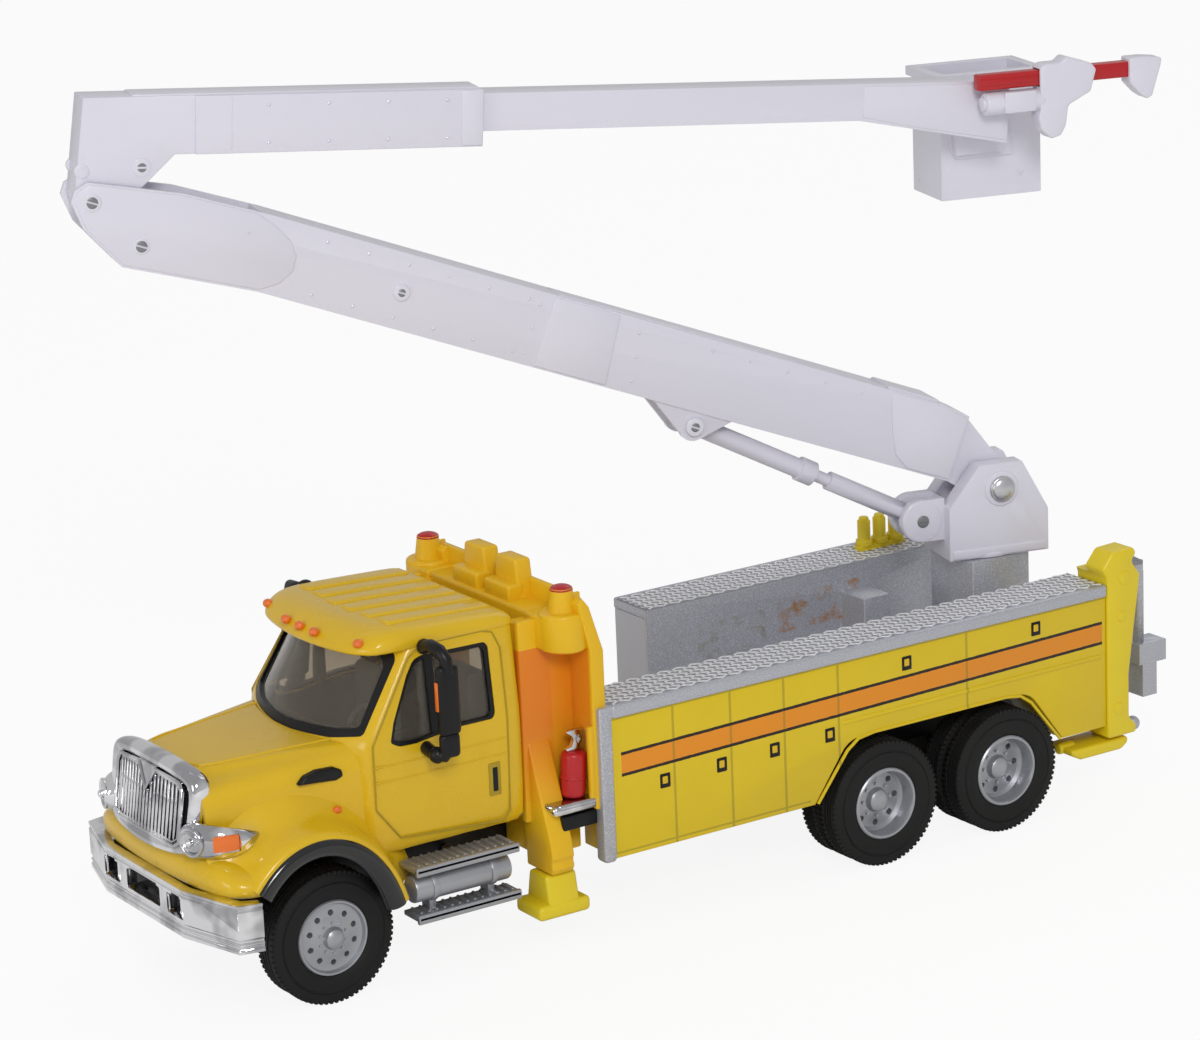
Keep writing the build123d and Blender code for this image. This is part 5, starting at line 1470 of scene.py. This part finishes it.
# ---------------------------------------------------------------- operators
class TRUCK_OT_finishes(bpy.types.Operator):
    """Make every surface finish"""
    bl_idname = "truck.finishes"
    bl_label = "Finishes"

    def execute(self, context):
        make_finishes(context.scene.truck_look)
        return {"FINISHED"}


class TRUCK_OT_tyres(bpy.types.Operator):
    """Add the tyres with their tread"""
    bl_idname = "truck.tyres"
    bl_label = "Tyres"

    def execute(self, context):
        make_tyres(context.scene.truck_look)
        return {"FINISHED"}


class TRUCK_OT_wheels(bpy.types.Operator):
    """Add the three wheelsets"""
    bl_idname = "truck.wheels"
    bl_label = "Wheels"

    def execute(self, context):
        make_wheels(context.scene.truck_look)
        return {"FINISHED"}


class TRUCK_OT_chassis(bpy.types.Operator):
    """Add the frame rails and drive-line"""
    bl_idname = "truck.chassis"
    bl_label = "Chassis"

    def execute(self, context):
        make_chassis(context.scene.truck_look)
        return {"FINISHED"}


class TRUCK_OT_cab(bpy.types.Operator):
    """Add the hollow cab, its windows and seats"""
    bl_idname = "truck.cab"
    bl_label = "Cab"

    def execute(self, context):
        make_cab(context.scene.truck_look)
        return {"FINISHED"}


class TRUCK_OT_roof(bpy.types.Operator):
    """Add the ribbed roof with its markers"""
    bl_idname = "truck.roof"
    bl_label = "Roof"

    def execute(self, context):
        make_roof(context.scene.truck_look)
        return {"FINISHED"}


class TRUCK_OT_hood(bpy.types.Operator):
    """Add the hood and fenders"""
    bl_idname = "truck.hood"
    bl_label = "Hood"

    def execute(self, context):
        make_hood(context.scene.truck_look)
        return {"FINISHED"}


class TRUCK_OT_grille(bpy.types.Operator):
    """Add the plated grille"""
    bl_idname = "truck.grille"
    bl_label = "Grille"

    def execute(self, context):
        make_grille(context.scene.truck_look)
        return {"FINISHED"}


class TRUCK_OT_headlamps(bpy.types.Operator):
    """Add the wrap-round headlamps"""
    bl_idname = "truck.headlamps"
    bl_label = "Headlamps"

    def execute(self, context):
        make_headlamps(context.scene.truck_look)
        return {"FINISHED"}


class TRUCK_OT_bumper(bpy.types.Operator):
    """Add the plated bumper"""
    bl_idname = "truck.bumper"
    bl_label = "Bumper"

    def execute(self, context):
        make_bumper(context.scene.truck_look)
        return {"FINISHED"}


class TRUCK_OT_mirrors(bpy.types.Operator):
    """Add both door mirrors"""
    bl_idname = "truck.mirrors"
    bl_label = "Mirrors"

    def execute(self, context):
        make_mirrors(context.scene.truck_look)
        return {"FINISHED"}


class TRUCK_OT_steps(bpy.types.Operator):
    """Add the steps and tanks"""
    bl_idname = "truck.steps"
    bl_label = "Steps"

    def execute(self, context):
        make_steps(context.scene.truck_look)
        return {"FINISHED"}


class TRUCK_OT_doors(bpy.types.Operator):
    """Add the door lines and handles"""
    bl_idname = "truck.doors"
    bl_label = "Doors"

    def execute(self, context):
        make_doors(context.scene.truck_look)
        return {"FINISHED"}


class TRUCK_OT_rack(bpy.types.Operator):
    """Add the gantry behind the cab"""
    bl_idname = "truck.rack"
    bl_label = "Rack"

    def execute(self, context):
        make_rack(context.scene.truck_look)
        return {"FINISHED"}


class TRUCK_OT_extinguisher(bpy.types.Operator):
    """Add the red bottle"""
    bl_idname = "truck.extinguisher"
    bl_label = "Extinguisher"

    def execute(self, context):
        make_extinguisher(context.scene.truck_look)
        return {"FINISHED"}


class TRUCK_OT_feet(bpy.types.Operator):
    """Add the four outrigger feet"""
    bl_idname = "truck.feet"
    bl_label = "Feet"

    def execute(self, context):
        make_feet(context.scene.truck_look)
        return {"FINISHED"}


class TRUCK_OT_outriggers(bpy.types.Operator):
    """Add the rear outrigger arms"""
    bl_idname = "truck.outriggers"
    bl_label = "Rear Outriggers"

    def execute(self, context):
        make_rear_outriggers(context.scene.truck_look)
        return {"FINISHED"}


class TRUCK_OT_tail(bpy.types.Operator):
    """Add the rear cross-beam and pipes"""
    bl_idname = "truck.tail"
    bl_label = "Rear Frame"

    def execute(self, context):
        make_rear_frame(context.scene.truck_look)
        return {"FINISHED"}


class TRUCK_OT_cabinets(bpy.types.Operator):
    """Add the cabinet blocks and latches"""
    bl_idname = "truck.cabinets"
    bl_label = "Cabinets"

    def execute(self, context):
        make_cabinets(context.scene.truck_look)
        return {"FINISHED"}


class TRUCK_OT_bed(bpy.types.Operator):
    """Add the bed and its tread-plate decks"""
    bl_idname = "truck.bed"
    bl_label = "Bed"

    def execute(self, context):
        make_bed(context.scene.truck_look)
        return {"FINISHED"}


class TRUCK_OT_holders(bpy.types.Operator):
    """Add the three deck holders"""
    bl_idname = "truck.holders"
    bl_label = "Deck Holders"

    def execute(self, context):
        make_deck_posts(context.scene.truck_look)
        return {"FINISHED"}


class TRUCK_OT_turret(bpy.types.Operator):
    """Add the turret and its main pin"""
    bl_idname = "truck.turret"
    bl_label = "Turret"

    def execute(self, context):
        make_turret(context.scene.truck_look)
        return {"FINISHED"}


class TRUCK_OT_lower_boom(bpy.types.Operator):
    """Add the lower boom"""
    bl_idname = "truck.lower_boom"
    bl_label = "Lower Boom"

    def execute(self, context):
        make_lower_boom(context.scene.truck_look)
        return {"FINISHED"}


class TRUCK_OT_cylinder(bpy.types.Operator):
    """Add the lift cylinder"""
    bl_idname = "truck.cylinder"
    bl_label = "Lift Cylinder"

    def execute(self, context):
        make_cylinder(context.scene.truck_look)
        return {"FINISHED"}


class TRUCK_OT_upper_boom(bpy.types.Operator):
    """Add the elbow block and sleeve"""
    bl_idname = "truck.upper_boom"
    bl_label = "Upper Boom"

    def execute(self, context):
        make_upper_boom(context.scene.truck_look)
        return {"FINISHED"}


class TRUCK_OT_inner_boom(bpy.types.Operator):
    """Add the telescoping boom"""
    bl_idname = "truck.inner_boom"
    bl_label = "Inner Boom"

    def execute(self, context):
        make_inner_boom(context.scene.truck_look)
        return {"FINISHED"}


class TRUCK_OT_bucket(bpy.types.Operator):
    """Add the work bucket"""
    bl_idname = "truck.bucket"
    bl_label = "Bucket"

    def execute(self, context):
        make_bucket(context.scene.truck_look)
        return {"FINISHED"}


class TRUCK_OT_jib(bpy.types.Operator):
    """Add the jib"""
    bl_idname = "truck.jib"
    bl_label = "Jib"

    def execute(self, context):
        make_jib(context.scene.truck_look)
        return {"FINISHED"}


class TRUCK_OT_stage(bpy.types.Operator):
    """Add the floor, lamps and camera"""
    bl_idname = "truck.stage"
    bl_label = "Stage"

    def execute(self, context):
        make_stage(context.scene.truck_look)
        return {"FINISHED"}


OPERATORS = (TRUCK_OT_finishes, TRUCK_OT_tyres, TRUCK_OT_wheels, TRUCK_OT_chassis,
             TRUCK_OT_cab, TRUCK_OT_roof, TRUCK_OT_hood, TRUCK_OT_grille,
             TRUCK_OT_headlamps, TRUCK_OT_bumper, TRUCK_OT_mirrors, TRUCK_OT_steps,
             TRUCK_OT_doors, TRUCK_OT_rack, TRUCK_OT_extinguisher, TRUCK_OT_feet,
             TRUCK_OT_outriggers, TRUCK_OT_tail, TRUCK_OT_cabinets, TRUCK_OT_bed,
             TRUCK_OT_holders, TRUCK_OT_turret, TRUCK_OT_lower_boom, TRUCK_OT_cylinder,
             TRUCK_OT_upper_boom, TRUCK_OT_inner_boom, TRUCK_OT_bucket, TRUCK_OT_jib,
             TRUCK_OT_stage)


class TRUCK_PT_panel(bpy.types.Panel):
    """Sidebar panel with the settings and every piece."""
    bl_idname = "TRUCK_PT_panel"
    bl_label = "Bucket Truck"
    bl_space_type = "VIEW_3D"
    bl_region_type = "UI"
    bl_category = "Truck"

    def draw(self, context):
        column = self.layout.column()
        for name in TruckLook.__annotations__:
            column.prop(context.scene.truck_look, name)
        for operator in OPERATORS:
            column.operator(operator.bl_idname)


def register():
    """Adds the classes and the scene's settings."""
    for item in (TruckLook, *OPERATORS, TRUCK_PT_panel):
        bpy.utils.register_class(item)
    bpy.types.Scene.truck_look = PointerProperty(type=TruckLook)


def unregister():
    """Removes them again."""
    del bpy.types.Scene.truck_look
    for item in (TRUCK_PT_panel, *reversed(OPERATORS), TruckLook):
        bpy.utils.unregister_class(item)


def main():
    """Builds everything in order."""
    register()
    for operator in OPERATORS:
        group, name = operator.bl_idname.split(".")
        getattr(getattr(bpy.ops, group), name)()


if __name__ == "__main__":
    main()
